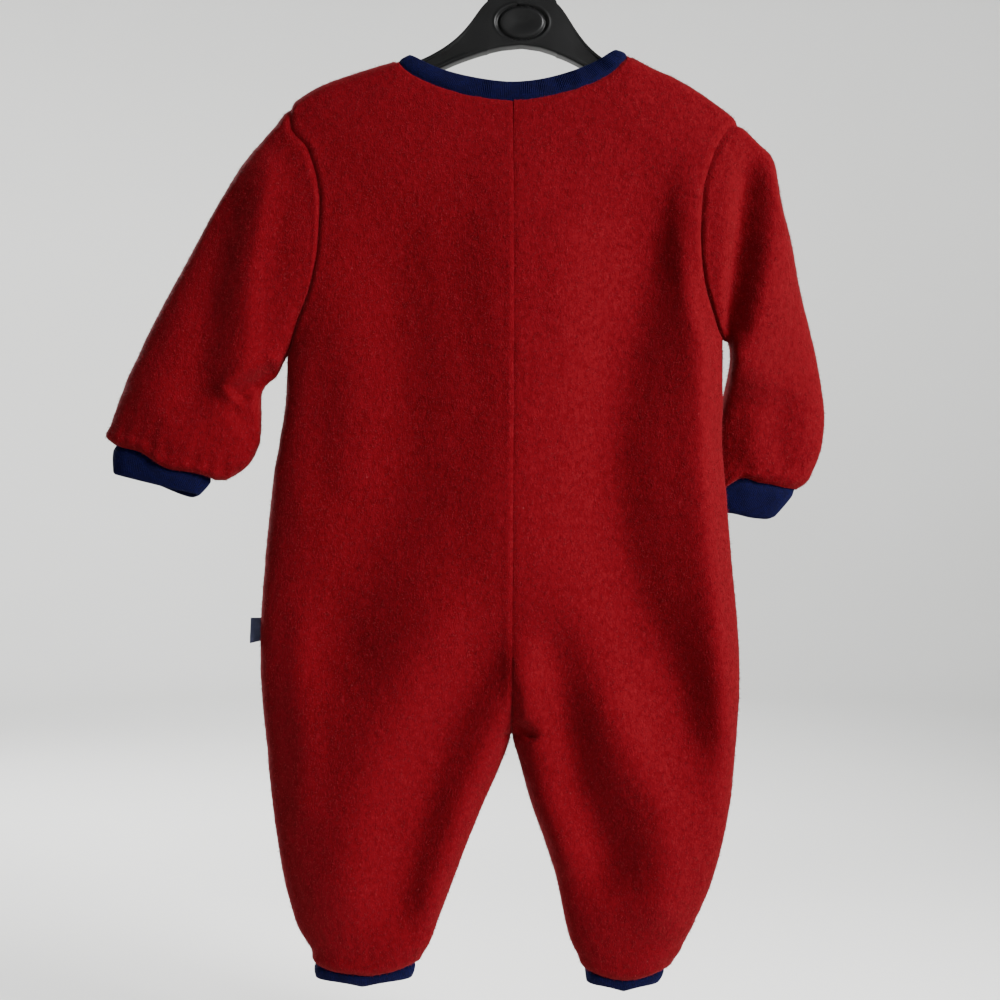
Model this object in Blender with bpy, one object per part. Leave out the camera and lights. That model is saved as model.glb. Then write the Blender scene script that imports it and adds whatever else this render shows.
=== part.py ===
"""A small child's fleece one-piece pajama, hung by the shoulders on a child's plastic hanger.

The garment's front faces -Y, its back +Y, and +X is the wearer's left. The origin is the top of the
inside of the hanger's hook, where it rests on a rail. Sizes in the tables are millimetres.
"""

import math

import bmesh
import bpy
import numpy as np

MM = 0.001

# ---------------------------------------------------------------- driving sizes
FLEECE_WALL = 2.5 * MM
RIB_WALL = 2.2 * MM
SEAM_GAP = 0.3 * MM
BINDING_HEIGHT = 11.0 * MM

SHOULDER_FOLD_RADIUS = 8.5 * MM  # the fleece over the hanger's arm
DEPTH_GROWTH = 45.0 * MM  # how far below the shoulder the body fills out
CROTCH_RISE = 60.0 * MM  # height of the curve of the crotch seam
NECK_SHAPE = (1.7, 0.59)  # powers of the neck curve, at the centre and at the shoulder
FRONT_NECK_DROP = 62.0 * MM
BACK_NECK_DROP = 31.0 * MM
NECK_LEVEL = -140.0 * MM  # where the centre line reaches the neck
LOWER_LEG_TOP = -650.0 * MM  # below it the shoulder no longer shapes the cloth
FOLDS_BEGIN = (10.0 * MM, 60.0 * MM)  # below the shoulder, from none to full
FOLDS_OFF_ZIP = (12.0 * MM, 42.0 * MM)  # beside the zip, from none to full
TINY = 1e-6  # keeps a division defined where its result isn't used

ZIP_HALF_GAP = 3.2 * MM
CHAIN_HALF_WIDTH = 2.8 * MM
ZIP_BOTTOM = -499.0 * MM
ZIP_CLOSES_IN = 7.0 * MM
STOP_LENGTH = 5.0 * MM
TAPE_WIDTH = 10.0 * MM
TAPE_WALL = 0.8 * MM
TAPE_BEHIND = 0.9 * MM  # from the inside of the cloth
CHAIN_BEHIND = (0.3 * MM, 2.3 * MM)  # the chain's two faces, behind the face of the cloth
STOP_BEHIND = (-0.3 * MM, 2.3 * MM)

SLIDER_WIDTH = 8.4 * MM
SLIDER_LENGTH = 12.0 * MM
SLIDER_WALL = 1.4 * MM
SLIDER_TAPER = (0.2, 0.7)  # its corners: how far below its middle, and how wide its foot
SLIDER_CLEAR = 0.9 * MM  # how far the slider rides off the cloth
SLIDER_BELOW_TOP = 8.0 * MM
BRIDGE_OUT = 5.15 * MM
BRIDGE_WALL = 0.9 * MM
BRIDGE_HALF_WIDTH = 1.2 * MM
BRIDGE_REACH = 4.2 * MM  # half its length, outside and inside
BRIDGE_CLEAR_REACH = 2.9 * MM
PIVOT_OUT = 3.3 * MM  # the pull's axis, off the cloth's face
PIVOT_DROP = 1.6 * MM
PULL_LENGTH = 24.0 * MM
PULL_HALF_WIDTH = 2.9 * MM
PULL_HALF_WALL = 0.65 * MM
PULL_CORNER = (1.2 * MM, 2.0 * MM)
WINDOW_HALF_WIDTH = 1.6 * MM
WINDOW_LENGTH = 7.5 * MM
CUTTER_HALF_DEPTH = 2.0 * MM

LABEL_TOP = -489.0 * MM
LABEL_BOTTOM = -505.0 * MM
LABEL_REACH = 7.0 * MM
LABEL_HALF_WALL = 0.7 * MM
LABEL_CORNER = (0.8 * MM, 0.35 * MM)  # the chamfer of its folded edge
LABEL_DROOP = 1.5 * MM

SIDES = {"left": 1.0, "right": -1.0}
FACES = {"back": 1.0, "front": -1.0}


def table(names, rows):
    """Rows of millimetres under named columns, as arrays of metres."""
    return dict(zip(names.split(), np.array(rows, float).T * MM))


# The outline of each half of the body, from underarm to ankle. Above the crotch, inner is the centre.
HALF_BODY = {
    "left": table("z outer inner depth", (
        (-300, 160.5, 5.6, 25.0),
        (-308, 161.0, 5.7, 25.0),
        (-340, 162.5, 5.9, 25.5),
        (-367, 166.5, 6.1, 26.0),
        (-395, 171.0, 6.3, 26.5),
        (-450, 176.5, 6.6, 27.0),
        (-505, 180.0, 6.9, 26.5),
        (-535, 179.5, 7.0, 25.0),
        (-568, 176.0, 7.2, 23.0),
        (-587, 174.5, 13.0, 22.0),
        (-614, 171.5, 25.0, 21.0),
        (-642, 168.0, 36.5, 20.5),
        (-670, 163.0, 47.0, 20.0),
        (-697, 155.5, 57.0, 19.0),
        (-711, 148.5, 61.5, 18.0),
        (-721, 143.0, 67.0, 16.5),
        (-727, 141.5, 73.5, 12.5),
    )),
    "right": table("z outer inner depth", (
        (-290, -137.5, 5.5, 25.0),
        (-298, -138.0, 5.6, 25.0),
        (-340, -138.0, 5.9, 25.5),
        (-367, -137.5, 6.1, 26.0),
        (-395, -139.5, 6.3, 26.5),
        (-450, -144.0, 6.6, 27.0),
        (-505, -149.0, 6.9, 26.5),
        (-535, -149.5, 7.0, 25.0),
        (-568, -147.5, 7.2, 23.0),
        (-587, -146.0, 2.5, 22.0),
        (-614, -143.5, -5.0, 21.0),
        (-642, -138.5, -15.0, 20.5),
        (-670, -131.0, -23.5, 20.0),
        (-697, -118.5, -29.0, 19.0),
        (-711, -112.0, -32.5, 18.0),
        (-722, -107.0, -37.5, 16.5),
        (-730, -98.0, -43.0, 12.5),
    )),
}
CROTCH_Z = -568.0 * MM
CENTRE_ROWS = 9  # the rows of HALF_BODY down to the crotch
ROWS_BELOW_CROTCH = {
    "left": (-580, -604, -637, -670, -697, -713, -722, -727),
    "right": (-580, -604, -637, -670, -697, -714, -724, -730),
}

# The shoulder line from neck point to sleeve head.
SHOULDER = {
    "left": table("x z", (
        (84.5, -106.0), (104.0, -111.5), (129.5, -120.0), (142.5, -126.0), (156.0, -135.5), (159.0, -139.0),
    )),
    "right": table("x z", (
        (-72.0, -102.0), (-90.0, -111.5), (-106.0, -118.5), (-127.5, -132.0), (-145.0, -146.0),
        (-149.0, -151.0),
    )),
}

# The armhole seam: how far down it, as a share of its drop, and where it lies across.
ARMHOLE_DOWN = (0.0, 0.10, 0.25, 0.45, 0.60, 0.75, 0.88, 1.0)
ARMHOLE_ACROSS = {
    "left": (159.0, 157.5, 144.5, 137.0, 138.5, 144.0, 153.5, 161.0),
    "right": (-149.0, -139.5, -129.5, -122.0, -121.0, -123.5, -130.0, -138.0),
}
BOW_ROWS = 4.5  # the row of SLEEVE by which a sleeve no longer follows its armhole
UNDERARM_Z = {"left": -308.0 * MM, "right": -298.0 * MM}
NECK_COLUMNS = (0.0, 0.30, 0.56, 0.78, 0.91, 0.97, 0.993, 1.0)  # places across the neck edge, of its width
NECK_POINT = len(NECK_COLUMNS) - 1
NECK_ORDER = (("left", "front", 1), ("left", "back", -1), ("right", "back", 1), ("right", "front", -1))
BINDING_LEAN = math.radians(66)  # how far the band leans into the neck at the shoulder
LEAN_GROWTH = {"back": 1.6, "front": 0.9}  # the power by which it does, along the neck edge
BINDING_INWARD = 0.15  # how far it leans front to back, of its height
ARMHOLE_DEPTH = 0.78  # the body's thickness at the armhole seam, as a share of its middle's
UNDERARM_LEAN = 0.7  # how the wall's direction turns under the arm: outward, less upward, and longer
UNDERARM_LEVEL = 0.3
UNDERARM_EXTRA = 0.4
ARMHOLE_ROWS = (0.0, 0.016, 0.045, 0.10, 0.19, 0.31, 0.45, 0.60, 0.75, 0.88, 0.96, 1.0)

# Sleeve rings from armhole to cuff: the ring's outer and inner edge, half its thickness, and how far
# the arm hangs forward of the body.
SLEEVE = {
    "left": table("outer_x outer_z inner_x inner_z depth forward", (
        (159.0, -139.0, 161.0, -308.0, 16.0, 0.0),
        (175.0, -157.5, 163.5, -312.5, 16.5, 0.0),
        (197.0, -184.5, 169.0, -323.0, 17.0, 1.0),
        (214.5, -214.0, 177.5, -330.5, 17.5, 2.0),
        (231.0, -244.5, 180.0, -338.0, 17.5, 3.0),
        (248.0, -274.5, 180.0, -350.5, 17.5, 4.0),
        (263.5, -305.0, 180.5, -364.0, 17.5, 5.0),
        (276.5, -334.0, 185.0, -378.0, 17.0, 6.0),
        (283.5, -354.5, 193.5, -387.5, 16.0, 6.0),
        (285.5, -362.5, 205.0, -392.5, 14.0, 6.0),
        (281.5, -368.0, 213.5, -392.0, 11.0, 6.0),
    )),
    "right": table("outer_x outer_z inner_x inner_z depth forward", (
        (-149.0, -151.0, -138.0, -298.0, 16.0, 0.0),
        (-161.5, -162.0, -142.5, -300.5, 16.5, 0.5),
        (-173.5, -175.0, -144.5, -305.5, 17.0, 2.0),
        (-178.5, -202.0, -144.5, -313.0, 17.5, 5.0),
        (-187.0, -231.0, -143.0, -324.0, 17.5, 10.0),
        (-195.5, -267.0, -140.5, -338.0, 17.5, 16.0),
        (-204.5, -298.0, -137.0, -353.0, 17.5, 21.0),
        (-211.0, -325.5, -133.5, -367.0, 17.0, 25.0),
        (-214.5, -350.5, -131.5, -380.5, 16.5, 28.0),
        (-212.0, -372.5, -130.0, -390.0, 15.5, 29.0),
        (-205.0, -389.5, -130.0, -395.0, 14.0, 29.0),
        (-196.0, -399.5, -131.5, -397.5, 11.0, 29.0),
    )),
}
# Where each wrist cuff's open end lies.
WRIST = {
    "left": table("outer_x outer_z inner_x inner_z depth forward", ((282.5, -390.0, 223.5, -404.5, 9.5, 6.0),)),
    "right": table("outer_x outer_z inner_x inner_z depth forward", ((-178.5, -420.5, -123.0, -415.0, 9.5, 29.0),)),
}
# Each ankle cuff's open end.
ANKLE = {
    "left": table("z outer inner depth", ((-736, 141.5, 76.0, 11.0),)),
    "right": table("z outer inner depth", ((-739, -93.5, -44.5, 11.0),)),
}

# The largest folds of the hanging cloth: a ridge is up, a trough down. Each runs through its points.
FOLDS = {
    "back": (
        # height, half width, then x and z along the fold
        (-5.0, 24.0, ((92, -190), (88, -330), (84, -420), (64, -480), (30, -535), (52, -650), (76, -700))),
        (-3.5, 17.0, ((128, -470), (142, -545), (134, -610))),
        (-6.0, 24.0, (
            (-112, -215), (-84, -290), (-66, -360), (-70, -440), (-92, -505), (-118, -560), (-124, -610),
        )),
        (-3.5, 14.0, ((-44, -590), (-56, -650), (-54, -700))),
        (2.0, 11.0, ((5, -150), (6, -330), (7, -520))),
    ),
    "front": (
        (-5.0, 24.0, ((84, -230), (78, -350), (70, -450), (46, -535), (58, -650), (82, -700))),
        (-5.5, 24.0, ((-98, -210), (-78, -330), (-72, -440), (-96, -530), (-100, -610))),
        (-3.5, 16.0, ((-30, -600), (-58, -650), (-64, -705))),
    ),
}


# ---------------------------------------------------------------- reading the tables
def smooth_line(keys, values, at):
    """A line through a table's points that never overshoots them (monotone cubic)."""
    order = np.argsort(keys)
    keys, values = np.asarray(keys, float)[order], np.asarray(values, float)[order]
    steps = np.diff(keys)
    slopes = np.diff(values) / steps
    tangents = np.zeros(len(keys))
    tangents[0], tangents[-1] = slopes[0], slopes[-1]
    same_way = slopes[:-1] * slopes[1:] > 0
    first, second = 2 * steps[1:] + steps[:-1], steps[1:] + 2 * steps[:-1]
    safe = np.where(same_way, slopes[:-1], 1.0), np.where(same_way, slopes[1:], 1.0)
    tangents[1:-1] = np.where(same_way, (first + second) / (first / safe[0] + second / safe[1]), 0.0)
    at = np.clip(at, keys[0], keys[-1])
    i = np.clip(np.searchsorted(keys, at) - 1, 0, len(keys) - 2)
    t = (at - keys[i]) / steps[i]
    return (
        (1 + 2 * t) * (1 - t) ** 2 * values[i]
        + t * (1 - t) ** 2 * steps[i] * tangents[i]
        + t * t * (3 - 2 * t) * values[i + 1]
        - t * t * (1 - t) * steps[i] * tangents[i + 1]
    )


def smooth_step(value, low, high):
    t = np.clip((value - low) / (high - low), 0.0, 1.0)
    return t * t * (3 - 2 * t)


def fold_relief(face, x, z):
    """How far the folds of one face push its cloth outward at each x and z."""
    total = np.zeros(np.shape(x))
    for height, half_width, places in FOLDS[face]:
        route = np.array(places, float) * MM
        nearest = np.full(np.shape(x), np.inf)
        for a, b in zip(route[:-1], route[1:]):
            along = np.clip(((x - a[0]) * (b - a)[0] + (z - a[1]) * (b - a)[1]) / ((b - a) @ (b - a)), 0, 1)
            away = np.hypot(x - a[0] - along * (b - a)[0], z - a[1] - along * (b - a)[1])
            nearest = np.minimum(nearest, away)
        total += height * MM * np.exp(-((nearest / (half_width * MM)) ** 2))
    return total


# ---------------------------------------------------------------- the form of the body
def neck_point(side):
    return SHOULDER[side]["x"][0], SHOULDER[side]["z"][0]


def neck_drop(side, face):
    """The neck seam's depth below this side's neck point, so both sides meet at the centre."""
    lowest = neck_point("left")[1] - (BACK_NECK_DROP if face == "back" else FRONT_NECK_DROP)
    return neck_point(side)[1] - lowest


def centre_x(z):
    """The seam down the middle of the body. It leans a little, as the garment hangs."""
    half = HALF_BODY["left"]
    return smooth_line(half["z"][:CENTRE_ROWS], half["inner"][:CENTRE_ROWS], np.maximum(z, CROTCH_Z))


def top_line(side, face, x):
    """The height of the panel's top edge, neck curve and then shoulder, above each x."""
    neck_x, neck_z = neck_point(side)
    middle = centre_x(NECK_LEVEL)
    share = np.clip((x - middle) / (neck_x - middle), 0, 1)
    curve = (1 - share ** NECK_SHAPE[0]) ** NECK_SHAPE[1]
    shoulder = smooth_line(SHOULDER[side]["x"], SHOULDER[side]["z"], x)
    return np.where(share < 1, neck_z - neck_drop(side, face) * curve, shoulder)


def ridge_line(side, x):
    """The height of the shoulder's fold, carried on level over the neck opening."""
    neck_x, neck_z = neck_point(side)
    outside = (x - neck_x) * SIDES[side] > 0
    return np.where(outside, smooth_line(SHOULDER[side]["x"], SHOULDER[side]["z"], x), neck_z)


def panel_columns(side):
    """Places across a panel, from its centre edge to its outer edge: one falls on the neck point."""
    neck_x, middle = neck_point(side)[0], centre_x(NECK_LEVEL)
    sleeve_angle = math.asin(ARMHOLE_DEPTH)
    reach = (neck_x - middle) / (SHOULDER[side]["x"][-1] - middle)
    neck_share = math.asin(reach * math.cos(sleeve_angle)) / (math.pi / 2 - sleeve_angle)
    return np.concatenate([neck_share * np.array(NECK_COLUMNS), np.linspace(neck_share, 1, 7)[1:]])


def panel_rows(side):
    """Each row of a panel: how far down the armhole it starts, and its height at the outer edge."""
    top, underarm = SHOULDER[side]["z"][-1], UNDERARM_Z[side]
    rise_top = CROTCH_Z + CROTCH_RISE
    down = list(ARMHOLE_ROWS)
    heights = [top + (underarm - top) * share for share in ARMHOLE_ROWS]
    body = list(np.linspace(underarm, ZIP_BOTTOM, 6)[1:]) + [ZIP_BOTTOM - ZIP_CLOSES_IN]
    crotch = [rise_top - CROTCH_RISE * math.sin(math.radians(angle)) for angle in (22.5, 45, 67.5, 90)]
    legs = [z * MM for z in ROWS_BELOW_CROTCH[side]]
    below = body + crotch + legs
    return np.array(down + [1.0] * len(below)), np.array(heights + below)


def panel_surface(side, face):
    """The outer face of one body panel, as a grid of points: a row per height, a column per place across."""
    sign, facing, half = SIDES[side], FACES[face], HALF_BODY[side]
    down, height = (values[:, None] for values in panel_rows(side))
    across = panel_columns(side)[None, :]
    in_armhole = down < 1

    armhole_x = smooth_line(ARMHOLE_DOWN, np.array(ARMHOLE_ACROSS[side]) * MM, down)
    outer = np.where(in_armhole, armhole_x, smooth_line(half["z"], half["outer"], height))
    inner = np.where(height >= CROTCH_Z, centre_x(height), smooth_line(half["z"], half["inner"], height))
    inner = inner + sign * SEAM_GAP / 2

    # Each row is part of an oval. Its inner end turns under at the crotch and closes the leg.
    turned_under = np.clip((CROTCH_Z + CROTCH_RISE - height) / CROTCH_RISE, 0, 1)
    inner_angle = math.pi / 2 + np.arcsin(turned_under)
    outer_angle = np.arcsin(ARMHOLE_DEPTH * (1 - down**3) ** 0.75)
    angle = inner_angle + (outer_angle - inner_angle) * across
    half_width = (outer - inner) / 2
    middle = inner + half_width * smooth_step(turned_under, 0, 1)
    outward = (outer - middle) / np.cos(outer_angle) * np.cos(angle)
    inward = (middle - inner) / np.maximum(turned_under, TINY) * np.cos(angle)
    x = middle + np.where(angle < math.pi / 2, outward, inward)
    if face == "front":
        zip_open = smooth_step(height, ZIP_BOTTOM - ZIP_CLOSES_IN, ZIP_BOTTOM)
        near_zip = np.maximum(1 - across / panel_columns(side)[NECK_POINT], 0)
        x = x + sign * (ZIP_HALF_GAP - SEAM_GAP / 2) * zip_open * near_zip

    rise = (top_line(side, face, x) - SHOULDER[side]["z"][-1]) * (1 - down)
    z = height + np.where(in_armhole, rise, 0.0)

    below_ridge = np.maximum(ridge_line(side, x) - z, 0.0)
    full = smooth_line(half["z"], half["depth"], z)
    filled = SHOULDER_FOLD_RADIUS + (full - SHOULDER_FOLD_RADIUS) * (1 - np.exp(-below_ridge / DEPTH_GROWTH))
    filled = np.where(z < LOWER_LEG_TOP, full, filled)
    turn = np.sqrt(1 - (1 - np.minimum(below_ridge / SHOULDER_FOLD_RADIUS, 1)) ** 2)
    inside_edges = np.sin(angle) ** 2 * (1 - across**5) * smooth_step(below_ridge, *FOLDS_BEGIN)
    if face == "front":
        inside_edges = inside_edges * smooth_step(np.abs(x - centre_x(z)), *FOLDS_OFF_ZIP)
    depth = (filled * np.sin(angle) + fold_relief(face, x, z) * inside_edges) * turn
    y = facing * (depth + SEAM_GAP / 2)
    return np.stack(np.broadcast_arrays(x, y, z), axis=-1)


# ---------------------------------------------------------------- walls
def unit(vectors):
    return vectors / np.maximum(np.linalg.norm(vectors, axis=-1, keepdims=True), 1e-12)


def surface_normals(points, ring, outward):
    """The unit normal at each point of a grid, turned the way of outward."""
    down = np.gradient(points, axis=0)
    if ring:
        across = np.roll(points, -1, axis=1) - np.roll(points, 1, axis=1)
    else:
        across = np.gradient(points, axis=1)
    normals = unit(np.cross(down, across))
    wrong = np.sum(normals * outward, axis=-1) < 0
    flip = -1.0 if wrong.mean() > 0.5 else 1.0
    return normals * flip


def armhole_normals(side, face):
    """The direction of the cloth's thickness along the armhole seam, shared by body and sleeve."""
    angle = np.arccos(1 - 2 * np.array(ARMHOLE_ROWS))
    under = np.maximum(-np.cos(angle), 0)
    normals = np.stack(
        [
            SIDES[side] * UNDERARM_LEAN * under,
            FACES[face] * np.sin(angle),
            np.cos(angle) * (1 - UNDERARM_LEVEL * under),
        ],
        axis=-1,
    )
    return unit(normals) * (1 + UNDERARM_EXTRA * under)[:, None]


def binding_rise(side, face):
    """The way the band stands at each point of a neck edge: square to it, leaning into the neck."""
    share = np.array(NECK_COLUMNS)
    lean = BINDING_LEAN * share ** LEAN_GROWTH[face]
    inward = -FACES[face] * BINDING_INWARD * np.cos(lean)
    way = np.stack([-SIDES[side] * np.sin(lean), inward, np.cos(lean)], axis=-1)
    way[-1, 1] = 0.0
    return unit(way)


def panel_inside(side, face, points):
    """The panel's inner face: a wall's thickness in, with every seam edge kept in its seam's plane."""
    half_way = np.array([0.0, FACES[face], 0.0])
    normals = surface_normals(points, False, half_way)
    rows = len(ARMHOLE_ROWS)
    height = panel_rows(side)[1]
    on_shoulder = np.arange(len(panel_columns(side))) >= NECK_POINT
    edge = points[0, : NECK_POINT + 1]
    square = unit(np.cross(np.gradient(edge, axis=0), binding_rise(side, face)))
    normals[0, :NECK_POINT] = (square * np.sign(square[:1, 1:2]) * FACES[face])[:NECK_POINT]
    normals[0, on_shoulder, 1] = 0.0
    normals[0, NECK_POINT] = SIDES[side] * math.cos(BINDING_LEAN), 0.0, math.sin(BINDING_LEAN)
    normals[height >= CROTCH_Z + MM, 0, 0] = 0.0
    normals[height < CROTCH_Z + MM, 0, 1] = 0.0
    normals[rows:, -1, 1] = 0.0
    normals = unit(normals)
    normals[:rows, -1] = armhole_normals(side, face)
    inside = points - normals * FLEECE_WALL
    inside[..., 1] = FACES[face] * np.maximum(FACES[face] * inside[..., 1], SEAM_GAP / 2)
    return inside


def wall(name, outer, inner, ring, material):
    """One closed solid between an outer and an inner grid of points."""
    rows, columns = outer.shape[:2]
    mesh = bmesh.new()
    verts = [
        [[mesh.verts.new(grid[r, c]) for c in range(columns)] for r in range(rows)]
        for grid in (outer, inner)
    ]
    last = columns if ring else columns - 1
    for layer in verts:
        for r in range(rows - 1):
            for c in range(last):
                d = (c + 1) % columns
                mesh.faces.new((layer[r][c], layer[r][d], layer[r + 1][d], layer[r + 1][c]))
    for r in (0, rows - 1):
        for c in range(last):
            d = (c + 1) % columns
            mesh.faces.new((verts[0][r][c], verts[0][r][d], verts[1][r][d], verts[1][r][c]))
    if not ring:
        for c in (0, columns - 1):
            for r in range(rows - 1):
                mesh.faces.new((verts[0][r][c], verts[0][r + 1][c], verts[1][r + 1][c], verts[1][r][c]))
    return finish_mesh(name, mesh, material)


def finish_mesh(name, mesh, material):
    bmesh.ops.recalc_face_normals(mesh, faces=mesh.faces)
    data = bpy.data.meshes.new(name)
    mesh.to_mesh(data)
    mesh.free()
    data.materials.append(material)
    data.shade_smooth()
    data.set_sharp_from_angle(angle=math.radians(50))
    piece = bpy.data.objects.new(name, data)
    bpy.context.scene.collection.objects.link(piece)
    return piece


def lofted(name, sections, material):
    """A closed bar through rings of points, with a flat face at each end."""
    mesh = bmesh.new()
    rings = [[mesh.verts.new(point) for point in section] for section in sections]
    for first, second in zip(rings[:-1], rings[1:]):
        for i in range(len(first)):
            j = (i + 1) % len(first)
            mesh.faces.new((first[i], first[j], second[j], second[i]))
    mesh.faces.new(rings[0])
    mesh.faces.new(rings[-1])
    return finish_mesh(name, mesh, material)


def plain_material(name, colour, roughness, metallic=0.0):
    material = bpy.data.materials.new(name)
    material.use_nodes = True
    shader = material.node_tree.nodes["Principled BSDF"]
    shader.inputs["Base Color"].default_value = (*colour, 1.0)
    shader.inputs["Roughness"].default_value = roughness
    shader.inputs["Metallic"].default_value = metallic
    return material


# ---------------------------------------------------------------- the cut pieces
def make_body(fleece):
    grids = {}
    for side in SIDES:
        for face in FACES:
            outer = panel_surface(side, face)
            inner = panel_inside(side, face, outer)
            wall(f"{face}_{side}", outer, inner, False, fleece)
            grids[side, face] = outer, inner
    return grids


def ring_points(row, angles):
    """One oval ring between its outer and inner edge, from the outer edge over the back and round."""
    outer = np.array([row["outer_x"], -row["forward"], row["outer_z"]])
    inner = np.array([row["inner_x"], -row["forward"], row["inner_z"]])
    middle, reach = (outer + inner) / 2, (outer - inner) / 2
    sideways = np.array([0.0, row["depth"], 0.0])
    return middle + np.cos(angles)[:, None] * reach + np.sin(angles)[:, None] * sideways


def sleeve_angles():
    half = np.arccos(1 - 2 * np.array(ARMHOLE_ROWS))
    return np.concatenate([half, 2 * math.pi - half[-2:0:-1]])


def make_sleeve(side, grids, fleece):
    """A sleeve starts on the armhole's own points, and each ring after it is more nearly an oval."""
    rows = len(ARMHOLE_ROWS)
    seams = []
    for layer in (0, 1):
        back, front = grids[side, "back"][layer][:rows, -1], grids[side, "front"][layer][:rows, -1]
        seam = np.concatenate([back, front[-2:0:-1]])
        seam[0, 1], seam[rows - 1, 1] = 0.0, 0.0
        seams.append(seam + np.array([SIDES[side] * SEAM_GAP, 0, 0]))

    angles = sleeve_angles()
    columns = SLEEVE[side]
    count = len(columns["depth"])
    first = ring_points({name: values[0] for name, values in columns.items()}, angles)
    bow = seams[0] - first
    outer = []
    for i in range(count):
        ring = ring_points({name: values[i] for name, values in columns.items()}, angles)
        outer.append(ring + bow * (1 - smooth_step(i, 0, BOW_ROWS)))
    outer = np.array(outer)
    middle = outer.mean(axis=1, keepdims=True)
    normals = surface_normals(outer, True, outer - middle)
    inner = outer - normals * FLEECE_WALL
    inner[0] = seams[1]
    wall(f"sleeve_{side}", outer, inner, True, fleece)
    return outer, inner


def make_cuff(name, seam, open_end, steps, rib):
    """A rib tube from a seam's two rings of points to its open end, 0.3 mm off the seam."""
    outer_seam, inner_seam = seam
    way = unit(open_end.mean(axis=0) - outer_seam.mean(axis=0))
    middle = open_end.mean(axis=0)
    open_inside = open_end - unit(open_end - middle) * RIB_WALL
    start, start_inside = outer_seam + way * SEAM_GAP, inner_seam + way * SEAM_GAP
    shares = np.linspace(0, 1, steps)[:, None, None]
    outer = start + (open_end - start) * shares
    inner = start_inside + (open_inside - start_inside) * shares
    wall(name, outer, inner, True, rib)


def leg_ring(side, grids, layer):
    """The last row of both panels of a leg, as one ring."""
    back, front = grids[side, "back"][layer][-1], grids[side, "front"][layer][-1]
    ring = np.concatenate([back, front[-2:0:-1]])
    ring[0, 1] = 0.0
    ring[len(back) - 1, 1] = 0.0
    return ring


def make_ankle_cuff(side, grids, rib):
    row = {name: values[0] for name, values in ANKLE[side].items()}
    half = math.pi * (1 - panel_columns(side))
    angles = np.concatenate([half, 2 * math.pi - half[-2:0:-1]])
    middle, reach = (row["outer"] + row["inner"]) / 2, (row["outer"] - row["inner"]) / 2
    x, y = middle + reach * np.cos(angles), row["depth"] * np.sin(angles)
    open_end = np.stack([x, y, np.full(len(angles), row["z"])], axis=-1)
    seam = leg_ring(side, grids, 0), leg_ring(side, grids, 1)
    make_cuff(f"ankle_cuff_{side}", seam, open_end, 2, rib)


def neck_route(part_of):
    """What part_of gives for each quarter of the neck, from one front edge round the back to the other."""
    route = []
    for side, face, onward in NECK_ORDER:
        points = part_of(side, face)[::onward]
        route.append(points if not route else points[1:])
    route = np.concatenate(route)
    route[[NECK_POINT, 3 * NECK_POINT], 1] = 0.0
    return route


def make_binding(grids, rib):
    seam, seam_inside = (
        neck_route(lambda side, face: grids[side, face][layer][0, : NECK_POINT + 1]) for layer in (0, 1)
    )
    rise = neck_route(binding_rise)
    along = unit(np.gradient(seam, axis=0))
    normals = unit(np.cross(along, rise))
    normals *= np.sign(np.sum(normals * (seam - seam_inside), axis=-1, keepdims=True))
    heights = (SEAM_GAP, BINDING_HEIGHT / 2, BINDING_HEIGHT)
    outer = np.array([seam + rise * height for height in heights])
    inner = np.array([seam_inside + rise * SEAM_GAP] + [ring - normals * RIB_WALL for ring in outer[1:]])
    wall("neck_binding", outer, inner, False, rib)
    return outer, inner


# ---------------------------------------------------------------- the front zip
def zip_line(grids, binding):
    """Points down the middle of the front, on the cloth's outer face, from the band's top edge."""
    front = grids["left", "front"][0][:, 0]
    route = np.concatenate([binding[0][-1:, 0], front[front[:, 2] > ZIP_BOTTOM - MM]])
    route[:, 0] = centre_x(route[:, 2])
    return route


def zip_strip(name, route, low, high, near, far, material):
    """A bar along the zip from low to high across it, and from near to far behind the cloth's face."""
    corners = np.array([(low, near, 0), (high, near, 0), (high, far, 0), (low, far, 0)])
    return lofted(name, [point + corners for point in route], material)


def cut_route(route, top, bottom):
    """The stretch of a route between two heights."""
    inside = route[(route[:, 2] < top - MM) & (route[:, 2] > bottom + MM)]
    ends = [[np.interp(-z, -route[:, 2], route[:, axis]) for axis in (0, 1)] + [z] for z in (top, bottom)]
    return np.concatenate([[ends[0]], inside, [ends[1]]])


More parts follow.
